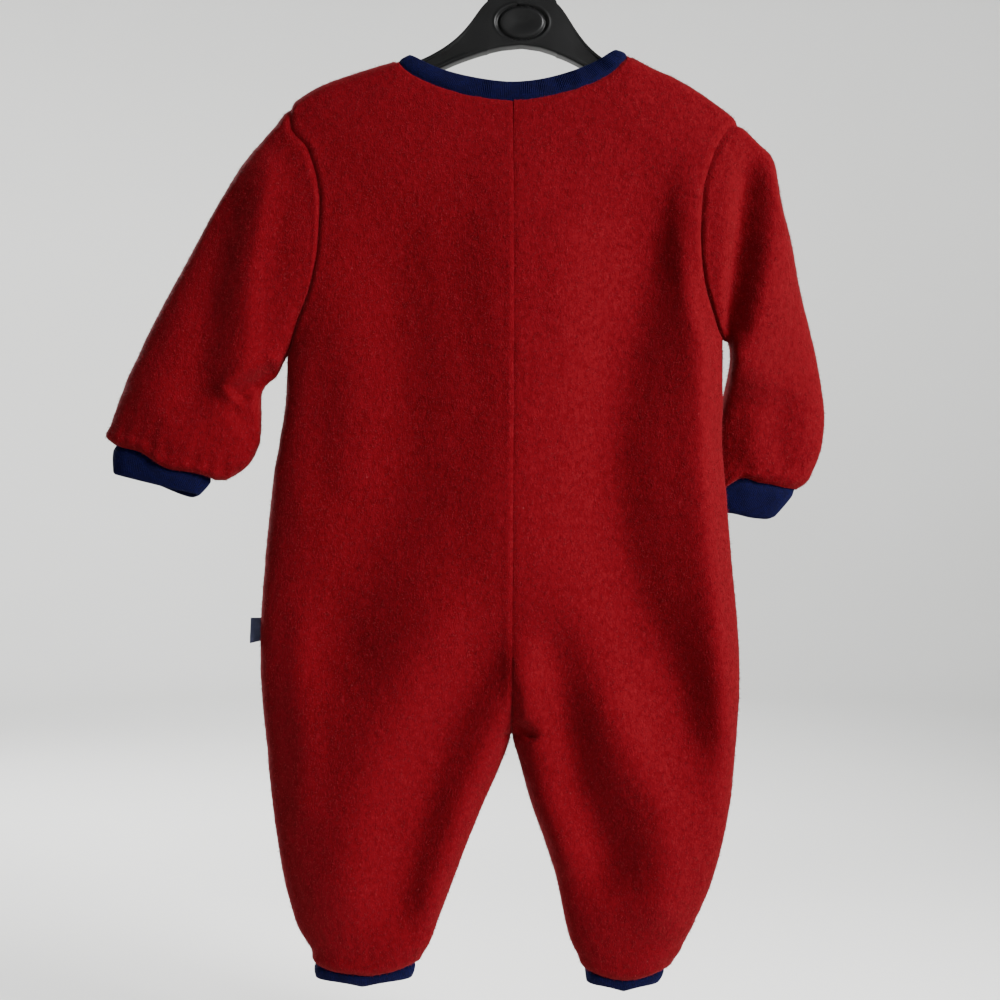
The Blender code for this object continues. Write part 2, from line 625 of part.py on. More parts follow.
def make_zip(grids, binding, tape_cloth, teeth, metal):
    """Tapes behind the front edges, the closed chain between them, a stop, and a slider at the top."""
    route = zip_line(grids, binding)
    stop_top = ZIP_BOTTOM + STOP_LENGTH + SEAM_GAP
    chain = cut_route(route, route[0, 2], stop_top + SEAM_GAP)
    zip_strip("zip_chain", chain, -CHAIN_HALF_WIDTH, CHAIN_HALF_WIDTH, *CHAIN_BEHIND, teeth)
    stop = cut_route(route, stop_top, stop_top - STOP_LENGTH)
    zip_strip("zip_stop", stop, -CHAIN_HALF_WIDTH, CHAIN_HALF_WIDTH, *STOP_BEHIND, metal)
    behind = FLEECE_WALL + TAPE_BEHIND
    tape = cut_route(route, route[1, 2] - MM, ZIP_BOTTOM)
    for side, sign in SIDES.items():
        low, high = sorted((sign * SEAM_GAP / 2, sign * TAPE_WIDTH))
        zip_strip(f"zip_tape_{side}", tape, low, high, behind, behind + TAPE_WALL, tape_cloth)

    slider_z = route[0, 2] - SLIDER_BELOW_TOP
    ends = cut_route(route, slider_z + SLIDER_LENGTH / 2, slider_z - SLIDER_LENGTH / 2)
    lean = math.atan2(ends[0][1] - ends[-1][1], SLIDER_LENGTH)
    middle = (ends[0] + ends[-1]) / 2
    slider, bridge = slider_body(metal)
    pivot = bpy.data.objects.new("pull_pivot", None)
    bpy.context.scene.collection.objects.link(pivot)
    pull = zip_pull(metal)
    for piece in (slider, bridge, pivot):
        piece.rotation_euler = (-lean, 0, 0)
        piece.location = middle
    out, down = -PIVOT_OUT, -PIVOT_DROP
    pivot.location = middle + np.array([
        0, math.cos(lean) * out + math.sin(lean) * down, math.cos(lean) * down - math.sin(lean) * out
    ])
    pull.parent = pivot


def slider_body(metal):
    """The slider's front plate, with the bridge that holds its pull. Its own -Y points out of the cloth."""
    half, reach = SLIDER_WIDTH / 2, SLIDER_LENGTH / 2
    corner, foot_half = -SLIDER_TAPER[0] * reach, SLIDER_TAPER[1] * half
    outline = [
        (-half, reach), (half, reach), (half, corner), (foot_half, -reach), (-foot_half, -reach), (-half, corner),
    ]
    plate = [[(x, y, z) for x, z in outline] for y in (-SLIDER_CLEAR, -SLIDER_CLEAR - SLIDER_WALL)]
    slider = lofted("zip_slider", plate, metal)
    foot, top = -SLIDER_CLEAR - SLIDER_WALL / 2, -BRIDGE_OUT
    under, outer, inner = top + BRIDGE_WALL, BRIDGE_REACH, BRIDGE_CLEAR_REACH
    arch = [
        (foot, -outer), (top, -outer), (top, outer), (foot, outer),
        (foot, inner), (under, inner), (under, -inner), (foot, -inner),
    ]
    sections = [[(x, y, z) for y, z in arch] for x in (-BRIDGE_HALF_WIDTH, BRIDGE_HALF_WIDTH)]
    bridge = lofted("slider_bridge", sections, metal)
    bridge.hide_render = True
    bridge.display_type = "WIRE"
    join = slider.modifiers.new("bridge", "BOOLEAN")
    join.operation = "UNION"
    join.object = bridge
    return slider, bridge


def zip_pull(metal):
    """A flat tab hanging from its crossbar, which lies on the pivot; a window clears the bridge."""
    half, wall_half, foot = PULL_HALF_WIDTH, PULL_HALF_WALL, -PULL_LENGTH
    corner_in, corner_up = PULL_CORNER
    outer = [
        (-half, wall_half), (half, wall_half), (half, foot + corner_up), (half - corner_in, foot),
        (-half + corner_in, foot), (-half, foot + corner_up),
    ]
    window = [
        (-WINDOW_HALF_WIDTH, -wall_half), (WINDOW_HALF_WIDTH, -wall_half),
        (WINDOW_HALF_WIDTH, -WINDOW_LENGTH), (-WINDOW_HALF_WIDTH, -WINDOW_LENGTH),
    ]
    tab = lofted("zip_pull", [[(x, y, z) for x, z in outer] for y in (-wall_half, wall_half)], metal)
    depths = (-CUTTER_HALF_DEPTH, CUTTER_HALF_DEPTH)
    cutter = lofted("pull_window", [[(x, y, z) for x, z in window] for y in depths], metal)
    cutter.hide_render = True
    cutter.display_type = "WIRE"
    cutter.parent = tab
    cut = tab.modifiers.new("window", "BOOLEAN")
    cut.operation = "DIFFERENCE"
    cut.object = cutter
    return tab


# ---------------------------------------------------------------- the side label
def make_label(material):
    """A short folded loop of tape sewn into the left side seam, standing out of it."""
    half = HALF_BODY["left"]
    edges = [smooth_line(half["z"], half["outer"], z) + SEAM_GAP for z in (LABEL_TOP, LABEL_BOTTOM)]
    reach, half_wall, (corner_x, corner_y) = LABEL_REACH, LABEL_HALF_WALL, LABEL_CORNER
    fold = [(0, -half_wall), (reach - corner_x, -half_wall), (reach, -corner_y)]
    fold += [(x, -y) for x, y in reversed(fold)]
    rings = []
    for edge, z, droop in ((edges[0], LABEL_TOP, 0.0), (edges[1], LABEL_BOTTOM, -LABEL_DROOP)):
        rings.append([(edge + x, y, z + droop * x / reach) for x, y in fold])
    return lofted("side_label", rings, material)


# ---------------------------------------------------------------- the hanger
HANGER = table("x top bottom thick", (
    (154.0, -139.5, -146.5, 2.5),
    (150.0, -136.0, -147.5, 4.5),
    (142.5, -130.6, -143.5, 4.8),
    (129.0, -123.8, -137.0, 5.0),
    (104.0, -115.6, -128.5, 5.0),
    (84.5, -110.8, -123.0, 4.6),
    (76.0, -108.6, -120.6, 4.6),
    (68.0, -105.8, -118.0, 4.8),
    (56.0, -99.5, -112.5, 5.0),
    (46.0, -92.5, -108.0, 5.0),
    (38.0, -84.5, -105.0, 5.0),
    (32.0, -76.5, -103.0, 5.2),
    (27.0, -68.5, -101.3, 5.4),
    (22.0, -62.8, -99.8, 5.5),
    (14.0, -59.6, -98.0, 5.5),
    (0.0, -58.5, -96.6, 5.5),
    (-12.0, -59.6, -98.3, 5.5),
    (-20.0, -62.5, -100.8, 5.5),
    (-25.0, -67.0, -102.8, 5.4),
    (-31.0, -76.5, -105.5, 5.2),
    (-38.0, -88.0, -109.0, 5.0),
    (-46.0, -98.0, -113.5, 5.0),
    (-56.0, -106.0, -119.0, 5.0),
    (-72.0, -114.0, -127.0, 5.0),
    (-90.0, -121.5, -134.5, 5.0),
    (-106.0, -127.5, -141.0, 5.0),
    (-127.0, -137.0, -151.0, 5.0),
    (-139.0, -146.5, -158.0, 4.5),
    (-143.0, -150.5, -157.5, 2.5),
))
HANGER_ROUNDING = 0.7  # its edges' radius, of half its thickness
HOOK_WIRE = 1.6 * MM  # its radius
HOOK_STEM = ((0.0, -50.0), (0.6, -45.0), (3.0, -40.5))  # x and z up the stem
HOOK_TURN = (-68, 212)  # from the top of the stem to the open tip, in degrees from +X
HOOK_RADIUS = 19.0 * MM


def make_hanger(plastic):
    sections = []
    for x, top, bottom, thick in zip(*(HANGER[name] for name in ("x", "top", "bottom", "thick"))):
        soft = thick * HANGER_ROUNDING
        ring = []
        for y_side, z_side in ((1, 1), (-1, 1), (-1, -1), (1, -1)):
            corner_z = (top if z_side > 0 else bottom) - z_side * soft
            corner_y = y_side * (thick - soft)
            start = {(1, 1): 0, (-1, 1): 90, (-1, -1): 180, (1, -1): 270}[y_side, z_side]
            for step in (0, 45, 90):
                turn = math.radians(start + step)
                ring.append((x, corner_y + soft * math.cos(turn), corner_z + soft * math.sin(turn)))
        sections.append(ring)
    return lofted("hanger_body", sections, plastic)


def make_hook(steel):
    """A question mark of wire: straight up out of the hanger, then round over the rail."""
    centre_z = HOOK_WIRE - HOOK_RADIUS
    route = [(0.0, HANGER["top"].max() + SEAM_GAP)] + [(x * MM, z * MM) for x, z in HOOK_STEM]
    for angle in np.linspace(*HOOK_TURN, 26):
        turn = math.radians(angle)
        route.append((HOOK_RADIUS * math.cos(turn), centre_z + HOOK_RADIUS * math.sin(turn)))
    route = np.array(route)
    along = unit(np.gradient(route, axis=0))
    sections = []
    for (x, z), (run_x, run_z) in zip(route, along):
        ring = []
        for step in range(8):
            turn = 2 * math.pi * step / 8
            out = HOOK_WIRE * math.cos(turn)
            ring.append((x - run_z * out, HOOK_WIRE * math.sin(turn), z + run_x * out))
        sections.append(ring)
    return lofted("hook", sections, steel)


def main():
    for old in list(bpy.data.objects):
        bpy.data.objects.remove(old)
    fleece = plain_material("red fleece", (0.24, 0.006, 0.012), 0.95)
    rib = plain_material("navy rib", (0.006, 0.011, 0.07), 0.9)
    tape = plain_material("navy tape", (0.01, 0.014, 0.05), 0.7)
    teeth = plain_material("navy zip teeth", (0.008, 0.013, 0.06), 0.4)
    plastic = plain_material("black plastic", (0.012, 0.012, 0.012), 0.35)
    steel = plain_material("plated steel", (0.6, 0.6, 0.6), 0.25, 1.0)

    grids = make_body(fleece)
    angles = sleeve_angles()
    for side in SIDES:
        sleeve = make_sleeve(side, grids, fleece)
        end = ring_points({name: values[0] for name, values in WRIST[side].items()}, angles)
        make_cuff(f"wrist_cuff_{side}", (sleeve[0][-1], sleeve[1][-1]), end, 3, rib)
        make_ankle_cuff(side, grids, rib)
    binding = make_binding(grids, rib)
    make_zip(grids, binding, rib, teeth, steel)
    make_label(tape)
    make_hanger(plastic)
    make_hook(steel)


main()
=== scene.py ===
import math

import bmesh
import bpy
import numpy as np
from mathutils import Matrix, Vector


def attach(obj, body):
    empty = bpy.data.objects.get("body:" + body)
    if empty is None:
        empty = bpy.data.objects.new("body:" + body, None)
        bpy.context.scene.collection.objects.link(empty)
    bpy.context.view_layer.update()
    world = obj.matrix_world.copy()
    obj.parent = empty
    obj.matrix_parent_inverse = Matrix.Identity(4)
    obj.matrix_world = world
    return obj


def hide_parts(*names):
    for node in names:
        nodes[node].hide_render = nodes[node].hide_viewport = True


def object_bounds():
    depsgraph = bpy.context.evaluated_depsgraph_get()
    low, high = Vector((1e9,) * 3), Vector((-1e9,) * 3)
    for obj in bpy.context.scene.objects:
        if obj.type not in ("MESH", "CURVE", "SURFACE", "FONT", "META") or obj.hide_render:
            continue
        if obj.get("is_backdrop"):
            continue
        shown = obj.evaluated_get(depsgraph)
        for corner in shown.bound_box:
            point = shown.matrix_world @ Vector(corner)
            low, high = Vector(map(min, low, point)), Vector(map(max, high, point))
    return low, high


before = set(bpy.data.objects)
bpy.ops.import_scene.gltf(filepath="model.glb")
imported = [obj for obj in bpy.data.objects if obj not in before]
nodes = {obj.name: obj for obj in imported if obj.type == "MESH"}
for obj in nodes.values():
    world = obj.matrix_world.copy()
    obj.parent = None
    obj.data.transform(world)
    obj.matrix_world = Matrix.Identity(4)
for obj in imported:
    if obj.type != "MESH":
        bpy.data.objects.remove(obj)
cad_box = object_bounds()
MM = 0.001


# ------------------------------------------------------------------------------------------
# The room: the garment hangs clear of the ground in a round white cove. A large soft light stands
# at its side and another beyond it, two brighten the cove behind and before it, and pale light
# comes from all round.
FLOOR_BELOW_CUFFS = 90 * MM
COVE_FLAT_RADIUS = 2.1
COVE_BEND_RADIUS = 1.2
COVE_TOP = 2.6
COVE_SIDES = 96

CAMERA_PLACE = (0.0151, 0.9556, -0.4081)

camera = bpy.data.objects.new("camera", bpy.data.cameras.new("camera"))
bpy.context.scene.collection.objects.link(camera)
bpy.context.scene.camera = camera
camera.data.lens = 50
camera.data.sensor_width = 36
camera.location = CAMERA_PLACE
camera.rotation_euler = (math.radians(90), 0, math.radians(180))


def linked_mesh(name, points, faces, material, smooth=True):
    """A mesh object from an array of points and a list of faces."""
    mesh = bpy.data.meshes.new(name)
    mesh.from_pydata(np.asarray(points, float).reshape(-1, 3).tolist(), [], faces)
    mesh.materials.append(material)
    if smooth:
        mesh.shade_smooth()
    piece = bpy.data.objects.new(name, mesh)
    bpy.context.scene.collection.objects.link(piece)
    return piece


def shader_material(name, **even):
    """A material with its Principled shader; even holds the values that are the same all over."""
    material = bpy.data.materials.new(name)
    material.use_nodes = True
    shader = material.node_tree.nodes["Principled BSDF"]
    for socket, value in even.items():
        shader.inputs[socket.replace("_", " ")].default_value = value
    return material, material.node_tree, shader


def add_node(tree, kind, inputs=None, **settings):
    """A node of a kind; inputs are values or sockets by input name or number."""
    node = tree.nodes.new(kind)
    for key, value in settings.items():
        setattr(node, key, value)
    for key, value in (inputs or {}).items():
        if isinstance(value, bpy.types.NodeSocket):
            tree.links.new(value, node.inputs[key])
        else:
            node.inputs[key].default_value = value
    return node


def own_places(tree):
    """The places on a piece, in metres, for patterns that stay with it."""
    return add_node(tree, "ShaderNodeTexCoord").outputs["Object"]


def blotches(tree, places, scale, detail=2.0, stretch=None):
    """Even noise from 0 to 1 at a scale in blotches a metre, drawn out along an axis by stretch."""
    if stretch:
        places = add_node(tree, "ShaderNodeMapping", {"Vector": places, "Scale": stretch}).outputs["Vector"]
    noise = add_node(tree, "ShaderNodeTexNoise", {"Vector": places, "Scale": scale, "Detail": detail})
    return noise.outputs["Fac"]


def between(tree, value, low, high, at_low=0.0, at_high=1.0):
    """value, from low to high, as a number from at_low to at_high."""
    limits = {"From Min": low, "From Max": high, "To Min": at_low, "To Max": at_high}
    return add_node(tree, "ShaderNodeMapRange", {"Value": value, **limits}).outputs["Result"]


def mixed(tree, share, first, second):
    """Two colours mixed by a share."""
    mix = tree.nodes.new("ShaderNodeMix")
    mix.data_type = "RGBA"
    for socket, value in ((mix.inputs[0], share), (mix.inputs[6], first), (mix.inputs[7], second)):
        if isinstance(value, bpy.types.NodeSocket):
            tree.links.new(value, socket)
        else:
            socket.default_value = (*value, 1) if hasattr(value, "__len__") else value
    return mix.outputs[2]


def toned_material(name, tones, scale, detail=2.0, gloss=None, **even):
    """A material in two close tones, scale blotches a metre; gloss is its roughness in each tone."""
    material, tree, shader = shader_material(name, **even)
    tone = blotches(tree, own_places(tree), scale, detail)
    tree.links.new(mixed(tree, tone, *tones), shader.inputs["Base Color"])
    if gloss:
        tree.links.new(between(tree, tone, 0.3, 0.7, *gloss), shader.inputs["Roughness"])
    return material


def grid_faces(rows, columns, closed_across=False, closed_down=False):
    """The four-sided faces of a grid of points, which may close on itself across or down."""
    return [
        (r * columns + c, r * columns + (c + 1) % columns, (r + 1) % rows * columns + (c + 1) % columns,
         (r + 1) % rows * columns + c)
        for r in range(rows if closed_down else rows - 1)
        for c in range(columns if closed_across else columns - 1)
    ]


floor_z = cad_box[0].z - FLOOR_BELOW_CUFFS
bend = [
    (COVE_FLAT_RADIUS + COVE_BEND_RADIUS * math.sin(t), floor_z + COVE_BEND_RADIUS * (1 - math.cos(t)))
    for t in np.linspace(0, math.pi / 2, 24)
]
cove_outline = [(0.001, floor_z), *bend, (COVE_FLAT_RADIUS + COVE_BEND_RADIUS, floor_z + COVE_TOP)]
turns = np.linspace(0, 2 * math.pi, COVE_SIDES, endpoint=False)
cove_points = [(r * math.cos(t), r * math.sin(t), z) for r, z in cove_outline for t in turns]
paint = toned_material("white_paint", ((0.74, 0.74, 0.72), (0.80, 0.80, 0.79)), 1.5, Roughness=0.9)
cove = linked_mesh("cove", cove_points, grid_faces(len(cove_outline), COVE_SIDES, True), paint)
cove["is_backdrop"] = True

# Each light's place, power in watts, width, height and spread. One with a tilt is turned by that from
# straight down, and the others face the middle of the garment.
for name, place, power, width, height, spread, tilt in (
    ("window_light", (-1.75, 1.15, 0.43), 41, 0.8, 1.2, 75, None),
    ("front_light", (1.7, -1.45, 0.40), 30, 0.8, 1.1, 75, None),
    ("backdrop_light", (0.2, -0.60, 0.75), 52, 1.8, 0.7, 150, -75),
    ("other_backdrop_light", (-0.2, 1.35, 0.85), 26, 1.8, 0.7, 150, 75),
):
    lamp = bpy.data.lights.new(name, "AREA")
    lamp.shape = "RECTANGLE"
    lamp.size, lamp.size_y = width, height
    lamp.energy = power
    lamp.spread = math.radians(spread)
    light = bpy.data.objects.new(name, lamp)
    bpy.context.scene.collection.objects.link(light)
    light.location = place
    towards_middle = ((cad_box[0] + cad_box[1]) / 2 - light.location).to_track_quat("-Z", "Y").to_euler()
    light.rotation_euler = (math.radians(tilt), 0, 0) if tilt else towards_middle

world = bpy.data.worlds.new("room")
world.use_nodes = True
world.node_tree.nodes["Background"].inputs["Color"].default_value = (0.95, 0.98, 1.0, 1)
world.node_tree.nodes["Background"].inputs["Strength"].default_value = 0.38
bpy.context.scene.world = world


# ------------------------------------------------------------------------------------------
# The body: two back and two front panels cut from napped polyester fleece, each from shoulder
# to ankle, sewn down the centre back, the sides, the shoulders and the insides of the legs.
FLEECE_WALL = 2.5 * MM
SEAM_GAP = 0.03 * MM
SHOULDER_FOLD_RADIUS = 8.5 * MM
DEPTH_GROWTH = 45.0 * MM
CROTCH_Z = -568.0 * MM
CROTCH_RISE = 60.0 * MM
NECK_SHAPE = (1.7, 0.59)
NECK_DROP = {"back": 31.0 * MM, "front": 62.0 * MM}
ZIP_HALF_GAP = 3.2 * MM
ZIP_BOTTOM = -499.0 * MM
ZIP_CLOSES_IN = 7.0 * MM
ARMHOLE_DEPTH = 0.78
FLATNESS = 2.5  # 2 is an oval section; more is flatter in the middle
SIDES = {"left": 1.0, "right": -1.0}
FACES = {"back": 1.0, "front": -1.0}


def table(names, rows):
    """Rows of millimetres under named columns, as arrays of metres."""
    return dict(zip(names.split(), np.array(rows, float).T * MM))


HALF_BODY = {
    "left": table("z outer inner depth", (
        (-300, 160.5, 5.6, 25.0),
        (-308, 161.0, 5.7, 25.0),
        (-340, 162.5, 5.9, 25.5),
        (-367, 166.5, 6.1, 26.0),
        (-395, 171.0, 6.3, 26.5),
        (-450, 176.5, 6.6, 27.0),
        (-505, 180.0, 6.9, 26.5),
        (-535, 179.5, 7.0, 25.0),
        (-568, 176.0, 7.2, 23.0),
        (-587, 174.5, 13.0, 22.0),
        (-614, 171.5, 25.0, 21.0),
        (-642, 168.0, 36.5, 20.5),
        (-670, 163.0, 47.0, 20.0),
        (-697, 155.5, 57.0, 19.0),
        (-711, 148.5, 61.5, 18.0),
        (-721, 143.0, 67.0, 16.5),
        (-727, 141.5, 73.5, 12.5),
    )),
    "right": table("z outer inner depth", (
        (-290, -137.5, 5.5, 25.0),
        (-298, -138.0, 5.6, 25.0),
        (-340, -138.0, 5.9, 25.5),
        (-367, -137.5, 6.1, 26.0),
        (-395, -139.5, 6.3, 26.5),
        (-450, -144.0, 6.6, 27.0),
        (-505, -149.0, 6.9, 26.5),
        (-535, -149.5, 7.0, 25.0),
        (-568, -147.5, 7.2, 23.0),
        (-587, -146.0, 2.5, 22.0),
        (-614, -143.5, -5.0, 21.0),
        (-642, -138.5, -15.0, 20.5),
        (-670, -131.0, -23.5, 20.0),
        (-697, -118.5, -29.0, 19.0),
        (-711, -112.0, -32.5, 18.0),
        (-722, -107.0, -37.5, 16.5),
        (-730, -98.0, -43.0, 12.5),
    )),
}
CENTRE_ROWS = 9  # the rows of HALF_BODY that are above the legs
SHOULDER = {
    "left": table("x z", (
        (84.5, -106.0), (104.0, -111.5), (129.5, -120.0),
        (142.5, -126.0), (156.0, -135.5), (159.0, -139.0),
    )),
    "right": table("x z", (
        (-72.0, -102.0), (-90.0, -111.5), (-106.0, -118.5),
        (-127.5, -132.0), (-145.0, -146.0), (-149.0, -151.0),
    )),
}
ARMHOLE_DOWN = (0.0, 0.10, 0.25, 0.45, 0.60, 0.75, 0.88, 1.0)
ARMHOLE_ACROSS = {
    "left": (159.0, 157.5, 144.5, 137.0, 138.5, 144.0, 153.5, 161.0),
    "right": (-149.0, -139.5, -129.5, -122.0, -121.0, -123.5, -130.0, -138.0),
}
UNDERARM_Z = {"left": -308.0 * MM, "right": -298.0 * MM}
ANKLE_Z = {"left": -727.0 * MM, "right": -730.0 * MM}

# The folds of the hanging cloth: a ridge is up, a trough down. Each has its half width on the side
# away from the body's right and on the other side, then x and z along it, from its top.
FOLDS = {
    "back": (
        # height, half width to +x, half width to -x, route
        (-6.5, 30, 30, ((84, -185), (85, -240), (81, -307), (78, -374), (87, -411), (104, -445), (118, -479),
                        (126, -516), (130, -560))),
        (3.5, 26, 30, ((7, -150), (10, -240), (12, -307), (13, -374), (14, -442), (11, -500))),
        (-13.0, 34, 26, ((-98, -150), (-89, -206), (-84, -240), (-78, -273), (-70, -307), (-64, -341),
                         (-60, -374), (-62, -408), (-67, -442), (-76, -475), (-90, -509), (-105, -543),
                         (-115, -576), (-120, -625))),
        (8.0, 18, 14, ((-129, -160), (-122, -206), (-120, -246), (-120, -294), (-122, -341), (-122, -381),
                       (-125, -428), (-130, -475), (-136, -529), (-138, -580), (-136, -630))),
        (4.5, 8, 16, ((6, -495), (0, -536), (-5, -570), (-12, -603), (-21, -630), (-35, -675))),
        (-7.0, 16, 18, ((-14, -470), (-27, -536), (-34, -570), (-37, -600), (-47, -623), (-55, -647),
                        (-54, -690))),
        (6.0, 20, 18, ((-45, -510), (-64, -566), (-79, -593), (-91, -617), (-96, -644), (-94, -674),
                       (-82, -712))),
        (5.5, 26, 22, ((22, -450), (56, -492), (76, -517), (86, -543), (99, -570), (109, -600), (116, -630),
                       (119, -664), (126, -712))),
        (-7.0, 20, 16, ((8, -475), (22, -512), (39, -543), (52, -566), (62, -597), (72, -630), (79, -657),
                        (85, -687), (84, -716))),
        (4.0, 12, 8, ((8, -530), (22, -573), (38, -607), (47, -637), (58, -667), (69, -706))),
        (-5.5, 4, 4.5, ((8, -560), (1, -563), (-5, -567), (-7, -571))),
        (-1.6, 16, 20, ((38, -190), (44, -260), (30, -330), (36, -400))),
        (1.4, 18, 14, ((-34, -180), (-26, -260), (-38, -340), (-30, -420))),
        (-1.8, 12, 14, ((130, -300), (138, -350), (134, -420))),
        (2.2, 10, 12, ((146, -470), (152, -520), (146, -580), (150, -640))),
    ),
    "front": (
        (-6.0, 28, 26, ((88, -200), (80, -290), (84, -370), (98, -440), (112, -510), (120, -570))),
        (-7.0, 28, 24, ((-92, -180), (-82, -260), (-70, -340), (-66, -410), (-82, -480), (-104, -550),
                        (-112, -620))),
        (5.0, 16, 16, ((-122, -200), (-120, -290), (-124, -380), (-130, -470), (-136, -560))),
        (4.5, 22, 20, ((40, -470), (70, -530), (96, -590), (110, -650), (118, -705))),
        (-6.0, 16, 16, ((16, -500), (38, -550), (58, -600), (72, -650), (80, -706))),
        (5.0, 14, 18, ((-2, -520), (-14, -580), (-28, -630), (-44, -690))),
        (-5.0, 16, 16, ((-26, -530), (-40, -590), (-58, -640), (-62, -700))),
        (4.5, 18, 16, ((-54, -540), (-80, -600), (-96, -650), (-88, -708))),
        (-2.0, 14, 16, ((44, -210), (52, -280), (40, -360))),
        (2.0, 16, 14, ((-46, -230), (-38, -320), (-48, -400))),
    ),
}


def smooth_line(keys, values, at):
    """A line through a table's points that never overshoots them (monotone cubic)."""
    order = np.argsort(keys)
    keys, values = np.asarray(keys, float)[order], np.asarray(values, float)[order]
    steps = np.diff(keys)
    slopes = np.diff(values) / steps
    tangents = np.zeros(len(keys))
    tangents[0], tangents[-1] = slopes[0], slopes[-1]
    same_way = slopes[:-1] * slopes[1:] > 0
    first, second = 2 * steps[1:] + steps[:-1], steps[1:] + 2 * steps[:-1]
    safe = np.where(same_way, slopes[:-1], 1.0), np.where(same_way, slopes[1:], 1.0)
    tangents[1:-1] = np.where(same_way, (first + second) / (first / safe[0] + second / safe[1]), 0.0)
    at = np.clip(at, keys[0], keys[-1])
    i = np.clip(np.searchsorted(keys, at) - 1, 0, len(keys) - 2)
    t = (at - keys[i]) / steps[i]
    return (
        (1 + 2 * t) * (1 - t) ** 2 * values[i]
        + t * (1 - t) ** 2 * steps[i] * tangents[i]
        + t * t * (3 - 2 * t) * values[i + 1]
        - t * t * (1 - t) * steps[i] * tangents[i + 1]
    )


def bell(distance, width):
    """1 at no distance, falling away softly on both sides: to about a third at the width."""
    return np.exp(-((distance / width) ** 2))


def smooth_step(value, low, high):
    """0 up to low, 1 from high on, and a soft slope between."""
    t = np.clip((value - low) / (high - low), 0.0, 1.0)
    return t * t * (3 - 2 * t)


def unit(vectors):
    """Vectors made one long."""
    return vectors / np.maximum(np.linalg.norm(vectors, axis=-1, keepdims=True), 1e-12)


def fold_relief(folds, x, z):
    """How far a list of folds pushes the cloth outward at each x and z. Each fades in and out."""
    total = np.zeros(np.shape(x))
    for height, to_left, to_right, places in folds:
        route = np.array(places, float) * MM
        runs = np.hypot(*np.diff(route, axis=0).T)
        starts = np.concatenate([[0.0], np.cumsum(runs)])
        nearest = np.full(np.shape(x), np.inf)
        side = np.zeros(np.shape(x))
        share = np.zeros(np.shape(x))
        for i, (a, b) in enumerate(zip(route[:-1], route[1:])):
            along = np.clip(((x - a[0]) * (b - a)[0] + (z - a[1]) * (b - a)[1]) / ((b - a) @ (b - a)), 0, 1)
            place_x = a[0] + along * (b - a)[0]
            away = np.hypot(x - place_x, z - a[1] - along * (b - a)[1])
            closer = away < nearest
            nearest = np.where(closer, away, nearest)
            side = np.where(closer, x - place_x, side)
            share = np.where(closer, (starts[i] + along * runs[i]) / starts[-1], share)
        width = np.where(side > 0, to_left, to_right) * MM
        fade = smooth_step(share, 0, 0.22) * smooth_step(1 - share, 0, 0.16)
        total += height * MM * bell(nearest, width) * fade
    return total


def lattice_noise(x, z, pitch, seed):
    """Smooth random heights from -1 to 1 over x and z, a knot every pitch."""
    knots = np.random.default_rng(seed).uniform(-1, 1, (257, 257))
    u, v = x / pitch + 128, z / pitch + 128
    i, j = np.floor(u).astype(int), np.floor(v).astype(int)
    s, t = u - i, v - j
    s, t = s * s * (3 - 2 * s), t * t * (3 - 2 * t)
    i, j = i % 256, j % 256
    low = knots[i, j] * (1 - s) + knots[i + 1, j] * s
    high = knots[i, j + 1] * (1 - s) + knots[i + 1, j + 1] * s
    return low * (1 - t) + high * t


def neck_point(side):
    """Where the neck edge meets the shoulder."""
    return SHOULDER[side]["x"][0], SHOULDER[side]["z"][0]


def centre_x(z):
    """The centre seam's place at each height, which stays the same below the crotch."""
    half = HALF_BODY["left"]
    return smooth_line(half["z"][:CENTRE_ROWS], half["inner"][:CENTRE_ROWS], np.maximum(z, CROTCH_Z))


NECK_CENTRE_X = centre_x(-140 * MM)


def top_line(side, face, x):
    """The height of the panel's top edge, neck curve and then shoulder, above each x."""
    neck_x, neck_z = neck_point(side)
    drop = neck_z - (neck_point("left")[1] - NECK_DROP[face])
    share = np.clip((x - NECK_CENTRE_X) / (neck_x - NECK_CENTRE_X), 0, 1)
    curve = (1 - share ** NECK_SHAPE[0]) ** NECK_SHAPE[1]
    shoulder = smooth_line(SHOULDER[side]["x"], SHOULDER[side]["z"], x)
    return np.where(share < 1, neck_z - drop * curve, shoulder)


def ridge_line(side, x):
    """The height of the shoulder's fold, carried on level over the neck opening."""
    neck_x, neck_z = neck_point(side)
    outside = (x - neck_x) * SIDES[side] > 0
    return np.where(outside, smooth_line(SHOULDER[side]["x"], SHOULDER[side]["z"], x), neck_z)


TURN_SHARE = 0.05  # of the armhole's drop, taken by the turn over the shoulder
ROW_STEP = 1.9 * MM


def armhole_shares():
    """How far down the armhole each fine row starts: closer together at its top and bottom."""
    turn = TURN_SHARE * (1 - np.cos(np.linspace(0, math.pi / 2, 9)))
    return np.concatenate([turn, np.linspace(TURN_SHARE, 1 - TURN_SHARE, 88)[1:-1], 1 - turn[::-1]])


ARMHOLE_SHARES = armhole_shares()
ARMHOLE_COUNT = len(ARMHOLE_SHARES)


